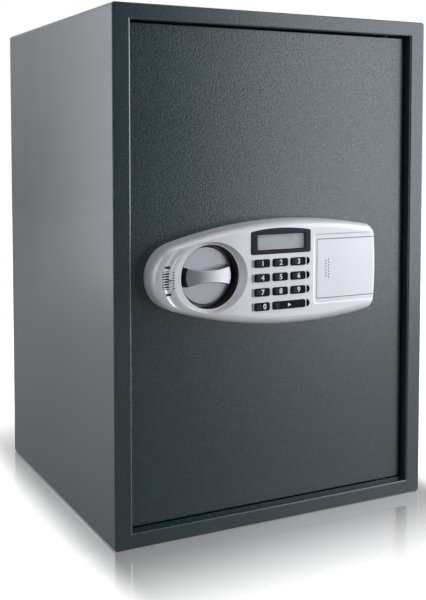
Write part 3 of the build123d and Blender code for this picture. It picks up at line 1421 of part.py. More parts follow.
def main():
    os.makedirs("parts", exist_ok=True)
    for name, make in CABINET_AND_DOOR.items():
        export_step(make(), f"parts/{name}.step")
    for name, make in LOCK.items():
        export_step(on_door(make()), f"parts/{name}.step")
    for name, place in key_layout().items():
        export_step(on_door(key(place)), f"parts/{name}.step")


main()
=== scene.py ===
import json
import math

import bpy
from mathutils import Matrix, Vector
from mathutils.bvhtree import BVHTree

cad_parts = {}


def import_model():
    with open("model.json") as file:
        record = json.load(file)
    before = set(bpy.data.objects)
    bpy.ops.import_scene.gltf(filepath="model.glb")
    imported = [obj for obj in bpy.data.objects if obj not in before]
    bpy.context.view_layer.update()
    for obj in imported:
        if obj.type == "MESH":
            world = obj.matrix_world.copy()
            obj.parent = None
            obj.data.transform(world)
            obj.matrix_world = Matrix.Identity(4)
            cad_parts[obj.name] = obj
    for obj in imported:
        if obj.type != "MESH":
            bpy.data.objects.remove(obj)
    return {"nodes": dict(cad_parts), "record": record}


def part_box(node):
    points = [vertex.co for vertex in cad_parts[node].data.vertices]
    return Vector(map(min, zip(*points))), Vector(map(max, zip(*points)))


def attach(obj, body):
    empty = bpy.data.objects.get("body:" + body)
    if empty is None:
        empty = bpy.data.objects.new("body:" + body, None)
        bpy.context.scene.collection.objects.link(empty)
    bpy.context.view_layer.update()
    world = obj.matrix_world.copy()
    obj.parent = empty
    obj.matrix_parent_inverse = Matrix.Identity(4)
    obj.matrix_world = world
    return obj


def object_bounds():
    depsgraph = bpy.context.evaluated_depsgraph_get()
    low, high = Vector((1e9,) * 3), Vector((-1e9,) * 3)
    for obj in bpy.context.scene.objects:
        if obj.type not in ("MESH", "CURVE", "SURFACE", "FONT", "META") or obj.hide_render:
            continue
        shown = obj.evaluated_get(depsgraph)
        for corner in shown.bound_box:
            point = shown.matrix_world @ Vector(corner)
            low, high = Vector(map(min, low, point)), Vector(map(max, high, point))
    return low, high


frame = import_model()
cad_low, cad_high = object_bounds()

# Furniture safe. Metres, in the frame of the solids: +X right, -Y front, +Z up.

MM = 0.001

# Camera
CAMERA_PLACE = (-0.493834, -0.978068, 0.375523)
CAMERA_TURN = (86.5755, 0.0, -27.2849)
CAMERA_LENS = 58.357
CAMERA_SENSOR = 36.0
CAMERA_SHIFT_Y = -0.1667
CAMERA_NEAR = 0.01

# Light
STRIP_DISTANCE = 1.7
STRIP_HEIGHT = 0.75
STRIP_LENGTH = 1.7
# Each strip's angle to the right of the front, its width as an angle, and its radiance
STRIPS = ((19.5, 5, 0.15), (24.5, 5, 1.0), (29.5, 5, 2.2), (37, 10, 2.7), (47, 10, 2.5), (57, 10, 5.0),
          (67, 10, 7.0), (77, 10, 7.0), (-62, 30, 1.7), (-145, 10, 3.6))
STRIP_COLOUR = (0.94, 0.99, 1.05)
TOP_PLACE = (0.0, -0.9, 1.9)
TOP_AIM = (0.0, 0.0, 0.3)
TOP_SIZE = (1.6, 1.2)
TOP_RADIANCE = 1.2
WALL_DIRECTION = (0.0, 1.0, 0.2)
# From straight against the wall's direction at 0 to straight along it at 1
WALL_LEVELS = ((0.0, 0.0), (0.45, 0.02), (0.8, 0.25), (0.96, 0.31), (0.985, 0.34), (1.0, 1.0))
FLOOR_REACH = 4.0
FLOOR_COLOUR = (0.48, 0.46, 0.43)
FLOOR_ROUGHNESS = 0.22
FLOOR_GLOSS = 0.8
FLOOR_LIFT = 1.0
FLOOR_BEHIND = (-0.3, 0.1)
FLOOR_REFLECTED = 0.12
FLOOR_MIRROR = 0.83
FLOOR_MIRROR_ROUGHNESS = 0.08
FLOOR_MIRROR_REACH = 0.20
# How many times faster the mirror image fades to the sides than to the front
FLOOR_SIDE_FADE = 4.0

# The part of its range that noise mostly stays in
NOISE_SPAN = (0.3, 0.7)

# Laid pieces: where rays to the skin start, how far the pieces sink in, and their grids
RAY_START = -1.0
BURIED = 0.25 * MM
BAR_GRID = (12, 6)
RIB_GRID = (24, 8)
DISC_GRID = (16, 4)
ARROW_GRID = (8, 4)

# Prints on the keys
DIGIT_SIZE = 7.0 * MM
DIGIT_RIGHT_OF_CENTRE = 0.3 * MM
ZERO_RIGHT_OF_CENTRE = 2.5 * MM
DIGIT_RELIEF = 0.05 * MM
DIGIT_WEIGHT = 0.18 * MM
# Pads: low raised squares at the left of the keys, coloured lighter as a painted sheen
PAD_FROM_EDGE = 3.0 * MM
PAD_SIZE = (4.6 * MM, 5.2 * MM)
PAD_RELIEF = 0.12 * MM
ARROW_SIZE = 3.6 * MM

# Index of the knob, on the valley at the panel's rounded end
RIB_SPAN = (-132.6 * MM, -125.6 * MM)
RIB_TOP = 256.3 * MM
RIB_PITCH = 2.4 * MM
RIB_COUNT = 7
RIB_WIDTH = 1.2 * MM
RIB_RELIEF = 0.75 * MM
RIB_END_STEEPNESS = 6
MARKS = ((-127.6 * MM, 261.0 * MM), (-126.6 * MM, 236.0 * MM))
MARK_SIZE = (6.0 * MM, 2.4 * MM)
TICK_RIGHT = -120.6 * MM
TICK_LENGTHS = (2.2 * MM, 2.2 * MM, 2.2 * MM, 6.0 * MM, 2.2 * MM, 2.2 * MM, 2.2 * MM)
TICK_WIDTH = 1.1 * MM
PRINT_RELIEF = 0.06 * MM

# Grip dots on the battery cover, low domes coloured darker than the cover as painted shade
DOT_COLUMNS = ((40.5 * MM, 259.0 * MM, 6), (43.5 * MM, 260.5 * MM, 7))
DOT_PITCH = 3.0 * MM
DOT_SIZE = 1.5 * MM
DOT_RELIEF = 0.45 * MM

# Painted shade: dark strips in the gap round the battery cover, where the gap is in shade
COVER_GAP = 0.7 * MM
GAP_SHADE_WIDTH = 0.6 * MM
GAP_SHADE_SPAN = (-183.6 * MM, -183.0 * MM)
GAP_SHADE_RIGHT = 98.0 * MM

# Painted shade: black half discs in the scoop to the right of each key row, where the scoop's wall is in
# shade
KEY_ROWS = ("key_3", "key_6", "key_9", "key_start")
KEY_FLANGE = 0.7 * MM
CRESCENT_GAP = 1.5 * MM
CRESCENT_RADIUS = 3.7 * MM
CRESCENT_RELIEF = 0.12 * MM

# Painted shade: a dark tube against the wall of the knob's well, where the wall is in shade
WELL_CENTRE = (-84.0 * MM, 250.0 * MM)
WELL_RADIUS = 30.25 * MM
WELL_SHADE_THICKNESS = 0.3 * MM
WELL_SPAN = (-177.9 * MM, -163.6 * MM)
WELL_SIDES = 96

# Painted highlight: a pale rim on the display, for the light caught at the edge of the window's glass
RIM_WIDTH = 0.7 * MM
RIM_RELIEF = 0.12 * MM


# Node trees

class Graph:
    """The nodes of a material or a world, with short calls for what is used here."""

    def __init__(self, owner):
        owner.use_nodes = True
        self.nodes = owner.node_tree.nodes
        self.links = owner.node_tree.links

    def link(self, start, end):
        self.links.new(start, end)

    def fill(self, node, inputs):
        """Gives a node its inputs, by name or number, each as a value or as a link."""
        for name, value in inputs.items():
            if isinstance(value, bpy.types.NodeSocket):
                self.link(value, node.inputs[name])
            else:
                node.inputs[name].default_value = value

    def add(self, kind, output, inputs, operation=None):
        """One output of a new node."""
        node = self.nodes.new(kind)
        if operation is not None:
            node.operation = operation
        self.fill(node, inputs)
        return node.outputs[output]

    def math(self, operation, first, second):
        return self.add("ShaderNodeMath", "Value", {0: first, 1: second}, operation)

    def vector_math(self, operation, output, *vectors):
        return self.add("ShaderNodeVectorMath", output, dict(enumerate(vectors)), operation)

    def mapped(self, value, start, end, low, high, kind="LINEAR"):
        """A value's range from start to end, mapped to low to high."""
        node = self.nodes.new("ShaderNodeMapRange")
        node.interpolation_type = kind
        self.fill(node, {"Value": value, "From Min": start, "From Max": end, "To Min": low, "To Max": high})
        return node.outputs["Result"]

    def ramp(self, factor, stops):
        """A ramp through (position, value or colour) stops."""
        node = self.nodes.new("ShaderNodeValToRGB")
        elements = node.color_ramp.elements
        while len(elements) < len(stops):
            elements.new(0.5)
        for element, (position, value) in zip(elements, stops):
            element.position = position
            colour = value if isinstance(value, tuple) else (value, value, value)
            element.color = (*colour, 1)
        self.link(factor, node.inputs["Fac"])
        return node.outputs["Color"]


class Tree(Graph):
    """A material with its shader and its place on the object."""

    def __init__(self, name):
        self.material = bpy.data.materials.new(name)
        super().__init__(self.material)
        self.shader = self.nodes["Principled BSDF"]
        self.place = self.nodes.new("ShaderNodeTexCoord").outputs["Object"]

    def set(self, **values):
        for name, value in values.items():
            self.shader.inputs[name.replace("_", " ")].default_value = value

    def scaled(self, scale, turn=(0, 0, 0)):
        inputs = {"Vector": self.place, "Scale": scale, "Rotation": turn}
        return self.add("ShaderNodeMapping", "Vector", inputs)

    def noise(self, size, detail=2.0, rough=0.5, stretch=(1, 1, 1)):
        """Noise whose blobs are about size metres across."""
        source = self.place if stretch == (1, 1, 1) else self.scaled(stretch)
        inputs = {"Vector": source, "Scale": 1.0 / size, "Detail": detail, "Roughness": rough}
        return self.add("ShaderNodeTexNoise", "Fac", inputs)

    def spread(self, factor, low, high, name):
        """Maps a factor to a range of values on one of the shader's sockets."""
        self.link(self.mapped(factor, *NOISE_SPAN, low, high), self.shader.inputs[name])

    def tint(self, factor, dark, light):
        colour = self.ramp(factor, list(zip(NOISE_SPAN, (dark, light))))
        self.link(colour, self.shader.inputs["Base Color"])

    def bump(self, height, depth, strength=1.0, under=None):
        """Relief from a height, over another relief if one is given."""
        inputs = {"Height": height, "Distance": depth, "Strength": strength}
        if under is not None:
            inputs["Normal"] = under
        normal = self.add("ShaderNodeBump", "Normal", inputs)
        self.link(normal, self.shader.inputs["Normal"])
        return normal


def shade(colour, factor):
    return tuple(channel * factor for channel in colour)


# Materials

def cabinet_paint():
    """Textured powder coat: an orange peel of soft blobs with finer pits between them."""
    tree = Tree("cabinet_paint")
    colour = (0.0055, 0.0245, 0.030)
    peel = tree.noise(1.7 * MM, detail=1.5, rough=0.5)
    patches = tree.noise(60 * MM, detail=3.0)
    # Painted shade: the tone follows the peel, darker in its hollows and lighter on its crests, for the
    # grains' self-shadowing
    tree.tint(peel, shade(colour, 0.55), shade(colour, 1.45))
    tree.spread(patches, 0.22, 0.26, "Roughness")
    tree.spread(peel, 0.85, 1.15, "Specular IOR Level")
    under = tree.bump(peel, 0.20 * MM, 0.8)
    tree.bump(tree.noise(0.6 * MM), 0.03 * MM, 0.4, under)
    return tree.material


def silver_panel():
    """Satin silver lacquer on plastic with a fine flake."""
    tree = Tree("silver_panel")
    colour = (0.76, 0.755, 0.79)
    flake = tree.noise(0.35 * MM, detail=1.0)
    tree.tint(flake, shade(colour, 0.93), shade(colour, 1.05))
    tree.spread(tree.noise(25 * MM), 0.32, 0.40, "Roughness")
    tree.set(Metallic=0.25)
    tree.bump(flake, 0.01 * MM, 0.3)
    return tree.material


def silver_knob():
    """Satin metal with a flake that hardly shows."""
    tree = Tree("silver_knob")
    colour = (0.52, 0.52, 0.555)
    flake = tree.noise(0.35 * MM, detail=1.0)
    tree.tint(flake, shade(colour, 0.97), shade(colour, 1.03))
    tree.spread(tree.noise(12 * MM), 0.33, 0.39, "Roughness")
    tree.set(Metallic=1.0)
    tree.bump(flake, 0.004 * MM, 0.2)
    return tree.material


def moulded(name, colour, roughness, gloss=0.5):
    """Moulded plastic or rubber with a fine spark-eroded grain."""
    tree = Tree(name)
    tree.set(Specular_IOR_Level=gloss)
    grains = tree.noise(0.6 * MM, detail=2.0)
    tree.tint(tree.noise(9 * MM), shade(colour, 0.88), shade(colour, 1.12))
    tree.spread(grains, roughness - 0.05, roughness + 0.05, "Roughness")
    tree.bump(grains, 0.02 * MM, 0.4)
    return tree.material


def display_frame():
    """Gloss plastic with a violet black tone."""
    tree = Tree("display_frame")
    colour = (0.016, 0.012, 0.026)
    tree.tint(tree.noise(15 * MM), shade(colour, 0.9), shade(colour, 1.1))
    tree.spread(tree.noise(4 * MM), 0.24, 0.32, "Roughness")
    tree.set(Specular_IOR_Level=0.2)
    return tree.material


def display_glass():
    """Clear window with faint dust and wiping marks."""
    tree = Tree("display_glass")
    tree.tint(tree.noise(20 * MM), (0.95, 0.97, 0.96), (1.0, 1.0, 1.0))
    tree.spread(tree.noise(3 * MM, stretch=(1, 1, 4)), 0.03, 0.12, "Roughness")
    tree.set(Alpha=0.14, Coat_Weight=1.0)
    return tree.material


def display_block():
    """Liquid crystal glass, grey green and faintly uneven."""
    tree = Tree("display_block")
    colour = (0.42, 0.46, 0.44)
    tree.tint(tree.noise(12 * MM), shade(colour, 0.94), shade(colour, 1.06))
    tree.spread(tree.noise(5 * MM), 0.25, 0.35, "Roughness")
    return tree.material


def steel(name, colour, roughness, lines=(1, 1, 30)):
    """Turned or rolled steel with fine lines."""
    tree = Tree(name)
    drawn = tree.noise(0.8 * MM, detail=3.0, stretch=lines)
    tree.tint(tree.noise(8 * MM), shade(colour, 0.92), shade(colour, 1.05))
    tree.spread(drawn, roughness - 0.08, roughness + 0.08, "Roughness")
    tree.set(Metallic=1.0)
    tree.bump(drawn, 0.01 * MM, 0.3)
    return tree.material


def zinc_plate():
    """Blue passivated zinc plate with a faint mottle."""
    tree = Tree("zinc_plate")
    mottle = tree.noise(4 * MM, detail=4.0)
    tree.tint(mottle, (0.52, 0.55, 0.58), (0.68, 0.69, 0.68))
    tree.spread(tree.noise(1.5 * MM, detail=4.0), 0.28, 0.46, "Roughness")
    tree.set(Metallic=1.0)
    tree.bump(mottle, 0.02 * MM, 0.25)
    return tree.material


def felt():
    """Needled felt mat: short fibres with a soft nap."""
    tree = Tree("felt")
    fibres = tree.noise(0.7 * MM, detail=5.0, rough=0.75)
    tree.tint(fibres, (0.012, 0.013, 0.014), (0.065, 0.067, 0.070))
    tree.spread(fibres, 0.9, 1.0, "Roughness")
    tree.set(Sheen_Weight=0.4, Sheen_Roughness=0.6)
    tree.bump(fibres, 0.5 * MM, 0.8)
    return tree.material


def circuit_board():
    """Green solder mask with lighter copper tracks under it."""
    tree = Tree("circuit_board")
    tracks = tree.nodes.new("ShaderNodeTexBrick")
    tree.fill(tracks, {"Vector": tree.scaled((1, 1, 1), (math.radians(90), 0, 0)),
                       "Scale": 1.0 / (6 * MM), "Mortar Size": 0.07,
                       "Color1": (0.012, 0.110, 0.040, 1), "Color2": (0.015, 0.125, 0.046, 1),
                       "Mortar": (0.035, 0.210, 0.075, 1)})
    tree.link(tracks.outputs["Color"], tree.shader.inputs["Base Color"])
    tree.spread(tree.noise(3 * MM), 0.28, 0.40, "Roughness")
    tree.bump(tracks.outputs["Fac"], 0.03 * MM, 0.3)
    return tree.material


def coil_tape():
    """Amber tape wound round a coil, its turns showing as bands."""
    tree = Tree("coil_tape")
    bands = tree.noise(2.5 * MM, detail=1.0, stretch=(0.05, 0.05, 1))
    tree.tint(bands, (0.34, 0.19, 0.02), (0.55, 0.34, 0.06))
    tree.spread(tree.noise(4 * MM), 0.25, 0.4, "Roughness")
    tree.bump(bands, 0.1 * MM, 0.4)
    return tree.material


def cell_wrap():
    """Shrink wrapped dry cells."""
    tree = Tree("cell_wrap")
    creases = tree.noise(6 * MM, detail=2.0, stretch=(0.2, 1, 1))
    tree.tint(creases, (0.020, 0.022, 0.026), (0.040, 0.042, 0.048))
    tree.spread(creases, 0.18, 0.30, "Roughness")
    tree.bump(creases, 0.04 * MM, 0.3)
    return tree.material


def ink(name, colour):
    """Printed ink, a little thin in places."""
    tree = Tree(name)
    tree.tint(tree.noise(0.6 * MM, detail=3.0), shade(colour, 0.85), colour)
    tree.spread(tree.noise(1.5 * MM), 0.4, 0.55, "Roughness")
    return tree.material


MATERIALS = {
    "cabinet_paint": cabinet_paint(),
    "felt": felt(),
    "steel": steel("steel", (0.58, 0.58, 0.59), 0.28),
    "zinc_plate": zinc_plate(),
    "silver_panel": silver_panel(),
    "silver_knob": silver_knob(),
    "display_frame": display_frame(),
    "display_glass": display_glass(),
    "display_block": display_block(),
    "circuit_board": circuit_board(),
    "dome_rubber": moulded("dome_rubber", (0.20, 0.20, 0.21), 0.7),
    "key_black": moulded("key_black", (0.008, 0.008, 0.012), 0.5, gloss=0.08),
    "black_plastic": moulded("black_plastic", (0.018, 0.018, 0.019), 0.42),
    "cell_wrap": cell_wrap(),
    "brass": steel("brass", (0.62, 0.45, 0.18), 0.30),
    "coil_tape": coil_tape(),
    "lock_metal": steel("lock_metal", (0.60, 0.60, 0.58), 0.22),
    "reset_red": moulded("reset_red", (0.45, 0.02, 0.018), 0.28),
}
WHITE_INK = ink("white_ink", (0.85, 0.85, 0.85))
BLACK_INK = ink("black_ink", (0.010, 0.010, 0.012))
# Painted highlight: pale grey for the rim of the display
RIM_HIGHLIGHT = ink("rim_painted_highlight", (0.72, 0.74, 0.73))
# Painted shade: grey for the grip dots, darker than the silver cover they stand on
DOT_SHADE = ink("dot_painted_shade", (0.22, 0.22, 0.24))
# Painted sheen: a lighter black for the pads at the left of the keys
PAD_SHEEN = moulded("pad_painted_sheen", (0.030, 0.030, 0.036), 0.4, gloss=0.1)
# Painted shade: near black for the shaded wall of the knob's well and the shaded gap round the battery
# cover
SHADE_BLACK = moulded("painted_shade_black", (0.020, 0.017, 0.019), 0.5, gloss=0.3)
# Painted shade: a darker copy of the steel for the hinge pins, which sit in the shaded gap
PIN_STEEL_SHADED = steel("pin_steel_painted_shade", (0.16, 0.16, 0.17), 0.45)


def dress_solids():
    for part in frame["record"]["subparts"]:
        node = frame["nodes"][part["node"]]
        for slot in node.material_slots:
            slot.link = "OBJECT"
            slot.material = MATERIALS[part["material_slot"]]
    # The hinge pins get the darker steel, painted shade for the gap they sit in
    for slot in frame["nodes"]["hinge_pins"].material_slots:
        slot.material = PIN_STEEL_SHADED


# Pieces

def add_piece(name, data, body, material):
    """Puts new mesh or curve data in the scene and makes it move with a body."""
    data.materials.append(material)
    piece = bpy.data.objects.new(name, data)
    bpy.context.scene.collection.objects.link(piece)
    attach(piece, body)
    return piece


class Skin:
    """The front of a CAD node, found along lines that run straight back."""

    def __init__(self, node):
        mesh = frame["nodes"][node].data
        corners = [vertex.co for vertex in mesh.vertices]
        faces = [tuple(face.vertices) for face in mesh.polygons]
        self.tree = BVHTree.FromPolygons(corners, faces)

    def at(self, x, z):
        return self.tree.ray_cast(Vector((x, RAY_START, z)), Vector((0, 1, 0)))[0]


def steps(count):
    return [index / count for index in range(count + 1)]


def laid_grid(skin, place_at, height_at, columns, rows):
    """A thin closed mesh that follows a skin: place_at gives x and z, height_at the relief."""
    front = []
    back = []
    for v in steps(rows):
        for u in steps(columns):
            point = skin.at(*place_at(u, v))
            front.append(point - Vector((0, height_at(u, v), 0)))
            back.append(point + Vector((0, BURIED, 0)))
    width = columns + 1
    depth = len(front)
    quads = [(row * width + column, row * width + column + 1,
              (row + 1) * width + column + 1, (row + 1) * width + column)
             for row in range(rows) for column in range(columns)]
    rim = list(range(columns))
    rim += [row * width + columns for row in range(rows)]
    rim += [rows * width + column for column in range(columns, 0, -1)]
    rim += [row * width for row in range(rows, 0, -1)]
    faces = quads + [tuple(depth + corner for corner in reversed(quad)) for quad in quads]
    faces += [(start, depth + start, depth + end, end) for start, end in zip(rim, rim[1:] + rim[:1])]
    return front + back, faces


def mesh_of(name, parts, smooth=False):
    """One mesh from several (corners, faces) pairs."""
    corners = []
    faces = []
    for part_corners, part_faces in parts:
        base = len(corners)
        corners += part_corners
        faces += [tuple(base + corner for corner in face) for face in part_faces]
    mesh = bpy.data.meshes.new(name)
    mesh.from_pydata(corners, [], faces)
    mesh.validate()
    if smooth:
        mesh.polygons.foreach_set("use_smooth", [True] * len(mesh.polygons))
    return mesh


def bar(skin, x0, x1, z0, z1, relief):
    """A flat printed or moulded bar whose outermost ring of faces slopes to the skin."""
    def place(u, v):
        return x0 + (x1 - x0) * u, z0 + (z1 - z0) * v

    def height(u, v):
        return relief if 0 < u < 1 and 0 < v < 1 else 0
    return laid_grid(skin, place, height, *BAR_GRID)


def rib(skin, x0, x1, z):
    """A half-round rib with rounded ends."""
    def place(u, v):
        return x0 + (x1 - x0) * u, z + RIB_WIDTH * (v - 0.5)

    def height(u, v):
        end = min(1, RIB_END_STEEPNESS * min(u, 1 - u))
        return RIB_RELIEF * math.sin(math.pi * v) * math.sqrt(end)
    return laid_grid(skin, place, height, *RIB_GRID)


def disc(skin, x, z, radius, relief, start=0.0, sweep=math.tau):
    """A low dome, or with a smaller sweep a sector of one."""
    def place(u, v):
        angle = start + sweep * u
        return x + radius * v * math.cos(angle), z + radius * v * math.sin(angle)

    def height(u, v):
        return relief * (1 - v ** 2)
    return laid_grid(skin, place, height, *DISC_GRID)


def knob_index(skin):
    """Ribs on a dark field with ticks at their right, and a mark above and below them."""
    left, right = RIB_SPAN
    heights = [RIB_TOP - RIB_PITCH * index for index in range(RIB_COUNT)]
    ribs = mesh_of("index_ribs", [rib(skin, left, right, z) for z in heights], smooth=True)
    add_piece("index_ribs", ribs, "door", MATERIALS["silver_panel"])
    width, height = MARK_SIZE
    marks = [bar(skin, x - width / 2, x + width / 2, z - height / 2, z + height / 2, PRINT_RELIEF)
             for x, z in MARKS]
    marks.append(bar(skin, left, right, heights[-1] - RIB_PITCH / 2, heights[0] + RIB_PITCH / 2,
                     PRINT_RELIEF))
    ticks = [bar(skin, TICK_RIGHT - length, TICK_RIGHT, z - TICK_WIDTH / 2, z + TICK_WIDTH / 2,
                 PRINT_RELIEF)
             for length, z in zip(TICK_LENGTHS, heights)]
    add_piece("index_marks", mesh_of("index_marks", marks + ticks), "door", BLACK_INK)


def well_sleeve():
    """A thin dark tube against the wall of the knob's well: painted shade for the shaded wall."""
    x, z = WELL_CENTRE
    front, back = WELL_SPAN
    profile = ((WELL_RADIUS, back), (WELL_RADIUS, front), (WELL_RADIUS - WELL_SHADE_THICKNESS, front),
               (WELL_RADIUS - WELL_SHADE_THICKNESS, back))
    corners = [(x + radius * math.cos(math.tau * step / WELL_SIDES), y,
                z + radius * math.sin(math.tau * step / WELL_SIDES))
               for step in range(WELL_SIDES) for radius, y in profile]
    size = len(profile)
    faces = [(size * step + edge, size * step + (edge + 1) % size,
              size * ((step + 1) % WELL_SIDES) + (edge + 1) % size, size * ((step + 1) % WELL_SIDES) + edge)
             for step in range(WELL_SIDES) for edge in range(size)]
    mesh = mesh_of("well_sleeve", [(corners, faces)])
    add_piece("well_sleeve", mesh, "door", SHADE_BLACK)


def grip_dots():
    """Two columns of low domes that a finger finds on the battery cover, coloured grey as painted shade."""
    skin = Skin("battery_cover")
    dots = [disc(skin, x, top - DOT_PITCH * index, DOT_SIZE / 2, DOT_RELIEF)
            for x, top, count in DOT_COLUMNS for index in range(count)]
    mesh = mesh_of("grip_dots", dots, smooth=True)
    add_piece("grip_dots", mesh, "battery_cover", DOT_SHADE)


def box_between(low, high):
    """Corners and faces of a box with the given lowest and highest corner."""
    corners = [Vector((x, y, z)) for x in (low[0], high[0]) for y in (low[1], high[1])
               for z in (low[2], high[2])]
    faces = [(0, 1, 3, 2), (4, 6, 7, 5), (0, 4, 5, 1), (2, 3, 7, 6), (0, 2, 6, 4), (1, 5, 7, 3)]
    return corners, faces


def cover_seal():
    """Painted shade: dark strips along three sides of the battery cover, in the gap round it."""
    low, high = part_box("battery_cover")
    front, back = GAP_SHADE_SPAN
    half = GAP_SHADE_WIDTH / 2
    left = low.x - COVER_GAP / 2
    bottom = low.z - COVER_GAP / 2
    top = high.z + COVER_GAP / 2
    strips = [box_between((left - half, front, bottom + half), (left + half, back, top - half))]
    strips += [box_between((left - half, front, z - half), (GAP_SHADE_RIGHT, back, z + half))
               for z in (bottom, top)]
    add_piece("cover_seal", mesh_of("cover_seal", strips), "door", SHADE_BLACK)


def row_ends(skin):
    """Black half discs in the scoops at the right end of the key rows, painted shade for the shaded scoop
    walls.
    """
    crescents = []
    for node in KEY_ROWS:
        low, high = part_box(node)
        centre = (low.z + high.z) / 2
        crescents.append(disc(skin, high.x - KEY_FLANGE + CRESCENT_GAP, centre, CRESCENT_RADIUS,
                              CRESCENT_RELIEF, -math.pi / 2, math.pi))
    mesh = mesh_of("row_ends", crescents, smooth=True)
    add_piece("row_ends", mesh, "door", MATERIALS["key_black"])


def display_rim():
    """A pale border laid on the display block, just inside the window: a painted highlight of the glass
    edge.
    """
    low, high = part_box("lcd_module")
    skin = Skin("lcd_module")
    bars = [bar(skin, low.x, high.x, low.z, low.z + RIM_WIDTH, RIM_RELIEF),
            bar(skin, low.x, high.x, high.z - RIM_WIDTH, high.z, RIM_RELIEF),
            bar(skin, low.x, low.x + RIM_WIDTH, low.z, high.z, RIM_RELIEF),
            bar(skin, high.x - RIM_WIDTH, high.x, low.z, high.z, RIM_RELIEF)]
    add_piece("display_rim", mesh_of("display_rim", bars), "door", RIM_HIGHLIGHT)


def key_centre(node):
    low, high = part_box(node)
    return (low.x + high.x) / 2, low.y, (low.z + high.z) / 2


def digit(number):
    """A printed digit that stands a hair proud of its key."""
    node = f"key_{number}"
    x, front, z = key_centre(node)
    right = DIGIT_RIGHT_OF_CENTRE if number else ZERO_RIGHT_OF_CENTRE
    font = bpy.data.curves.new(f"digit_{number}", "FONT")
    font.body = str(number)
    font.size = DIGIT_SIZE
    font.align_x = "CENTER"
    font.align_y = "CENTER"
    font.extrude = DIGIT_RELIEF
    font.offset = DIGIT_WEIGHT
    piece = add_piece(f"digit_{number}", font, node, WHITE_INK)
    piece.location = (x + right, front, z)
    piece.rotation_euler = (math.radians(90), 0, 0)


def key_pad(node):
    """A low raised square at the left of each key, in a lighter black that is a painted sheen."""
    low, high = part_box(node)
    z = (low.z + high.z) / 2
    width, height = PAD_SIZE
    left = low.x + PAD_FROM_EDGE
    pad = bar(Skin(node), left, left + width, z - height / 2, z + height / 2, PAD_RELIEF)
    name = f"pad_{node}"
    add_piece(name, mesh_of(name, [pad]), node, PAD_SHEEN)


def arrow():
    """A plain triangle on the wide key."""
    skin = Skin("key_start")
    x, _, z = key_centre("key_start")

    def place(u, v):
        return x + ARROW_SIZE * (u - 0.5), z + ARROW_SIZE * (v - 0.5) * (1 - u)

    def height(u, v):
        return PRINT_RELIEF
    mesh = mesh_of("arrow", [laid_grid(skin, place, height, *ARROW_GRID)])
    add_piece("arrow", mesh, "key_start", WHITE_INK)


def keys():
    for number in range(10):
        digit(number)
        key_pad(f"key_{number}")
    key_pad("key_start")
    arrow()


# Stage

def stage_surface(name, corners, material):
    mesh = bpy.data.meshes.new(name)
    mesh.from_pydata(corners, [], [tuple(range(len(corners)))])
    mesh.materials.append(material)
    surface = bpy.data.objects.new(name, mesh)
    bpy.context.scene.collection.objects.link(surface)


def floor_material():
    """Glossy white board. Only the camera sees its mirror image, which fades away from the object.
    The camera sees the board lifted, and so do reflections and glass where it lies behind."""
    tree = Tree("floor_white")
    tree.set(Base_Color=(*FLOOR_COLOUR, 1), Roughness=FLOOR_ROUGHNESS, Specular_IOR_Level=FLOOR_GLOSS,
             Emission_Color=(1, 1, 1, 1))
    path = tree.nodes.new("ShaderNodeLightPath").outputs

    depth = tree.nodes.new("ShaderNodeSeparateXYZ")
    tree.link(tree.place, depth.inputs["Vector"])
    behind = tree.mapped(depth.outputs["Y"], *FLOOR_BEHIND, 0.0, FLOOR_REFLECTED)
    indirect = tree.math("MAXIMUM", path["Is Glossy Ray"], path["Is Transmission Ray"])
    seen = tree.math("MAXIMUM", path["Is Camera Ray"], tree.math("MULTIPLY", indirect, behind))
    tree.link(tree.math("MULTIPLY", seen, FLOOR_LIFT), tree.shader.inputs["Emission Strength"])

    outside = tree.place  # how far a point lies outside the object's box
    for operation, value in (("ABSOLUTE", (0, 0, 0)), ("SUBTRACT", (cad_high.x, cad_high.y, 0)),
                             ("MAXIMUM", (0, 0, 0)), ("MULTIPLY", (FLOOR_SIDE_FADE, 1, 1))):
        outside = tree.vector_math(operation, "Vector", outside, value)
    away = tree.vector_math("LENGTH", "Value", outside)
    fade = tree.mapped(away, 0.0, FLOOR_MIRROR_REACH, FLOOR_MIRROR, 0.0, "SMOOTHSTEP")
    mirror = tree.add("ShaderNodeBsdfGlossy", "BSDF", {"Roughness": FLOOR_MIRROR_ROUGHNESS})
    share = tree.math("MULTIPLY", fade, path["Is Camera Ray"])
    inputs = {"Fac": share, 1: tree.shader.outputs["BSDF"], 2: mirror}
    surface = tree.add("ShaderNodeMixShader", "Shader", inputs)
    tree.link(surface, tree.nodes["Material Output"].inputs["Surface"])
    return tree.material


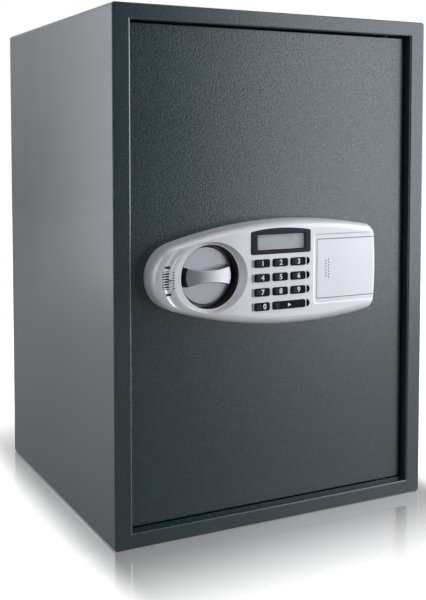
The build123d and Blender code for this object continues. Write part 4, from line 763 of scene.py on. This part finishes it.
def world():
    """White to the camera; to the object a white wall behind it that darkens towards its front."""
    studio = bpy.data.worlds.new("studio")
    bpy.context.scene.world = studio
    graph = Graph(studio)
    graph.nodes.clear()
    direction = graph.nodes.new("ShaderNodeTexCoord").outputs["Generated"]
    along = graph.vector_math("DOT_PRODUCT", "Value", direction, WALL_DIRECTION)
    level = graph.ramp(graph.mapped(along, -1.0, 1.0, 0.0, 1.0), WALL_LEVELS)
    lit = graph.add("ShaderNodeBackground", "Background", {"Color": level})
    seen = graph.add("ShaderNodeBackground", "Background", {"Color": (1, 1, 1, 1)})
    camera_ray = graph.nodes.new("ShaderNodeLightPath").outputs["Is Camera Ray"]
    mix = graph.add("ShaderNodeMixShader", "Shader", {"Fac": camera_ray, 1: lit, 2: seen})
    graph.link(mix, graph.nodes.new("ShaderNodeOutputWorld").inputs["Surface"])


def area_light(name, place, aim, size, radiance, colour=(1, 1, 1)):
    light = bpy.data.lights.new(name, "AREA")
    light.shape = "RECTANGLE"
    light.size, light.size_y = size
    light.energy = radiance * math.pi * size[0] * size[1]
    light.color = colour
    lamp = bpy.data.objects.new(name, light)
    bpy.context.scene.collection.objects.link(lamp)
    lamp.location = place
    lamp.rotation_euler = (Vector(aim) - Vector(place)).to_track_quat("-Z", "Y").to_euler()


def lights():
    """A wide soft light at the right in strips that grow brighter, two at the left and one above."""
    for index, (angle, spread, radiance) in enumerate(STRIPS):
        turn = math.radians(angle)
        place = (STRIP_DISTANCE * math.sin(turn), -STRIP_DISTANCE * math.cos(turn), STRIP_HEIGHT)
        size = (STRIP_DISTANCE * math.radians(spread), STRIP_LENGTH)
        area_light(f"strip_{index}", place, (0, 0, STRIP_HEIGHT), size, radiance, STRIP_COLOUR)
    area_light("top", TOP_PLACE, TOP_AIM, TOP_SIZE, TOP_RADIANCE)


def camera():
    data = bpy.data.cameras.new("camera")
    data.lens = CAMERA_LENS
    data.sensor_width = CAMERA_SENSOR
    data.shift_y = CAMERA_SHIFT_Y
    data.clip_start = CAMERA_NEAR
    view = bpy.data.objects.new("camera", data)
    view.location = CAMERA_PLACE
    view.rotation_euler = [math.radians(angle) for angle in CAMERA_TURN]
    bpy.context.scene.collection.objects.link(view)
    bpy.context.scene.camera = view


def floor():
    corners = [(x * FLOOR_REACH, y * FLOOR_REACH, 0) for x, y in ((-1, -1), (1, -1), (1, 1), (-1, 1))]
    stage_surface("floor", corners, floor_material())


bpy.context.scene.view_settings.view_transform = "Standard"
dress_solids()
panel_skin = Skin("faceplate_housing")
knob_index(panel_skin)
row_ends(panel_skin)
well_sleeve()
grip_dots()
cover_seal()
display_rim()
keys()
floor()
world()
lights()
camera()
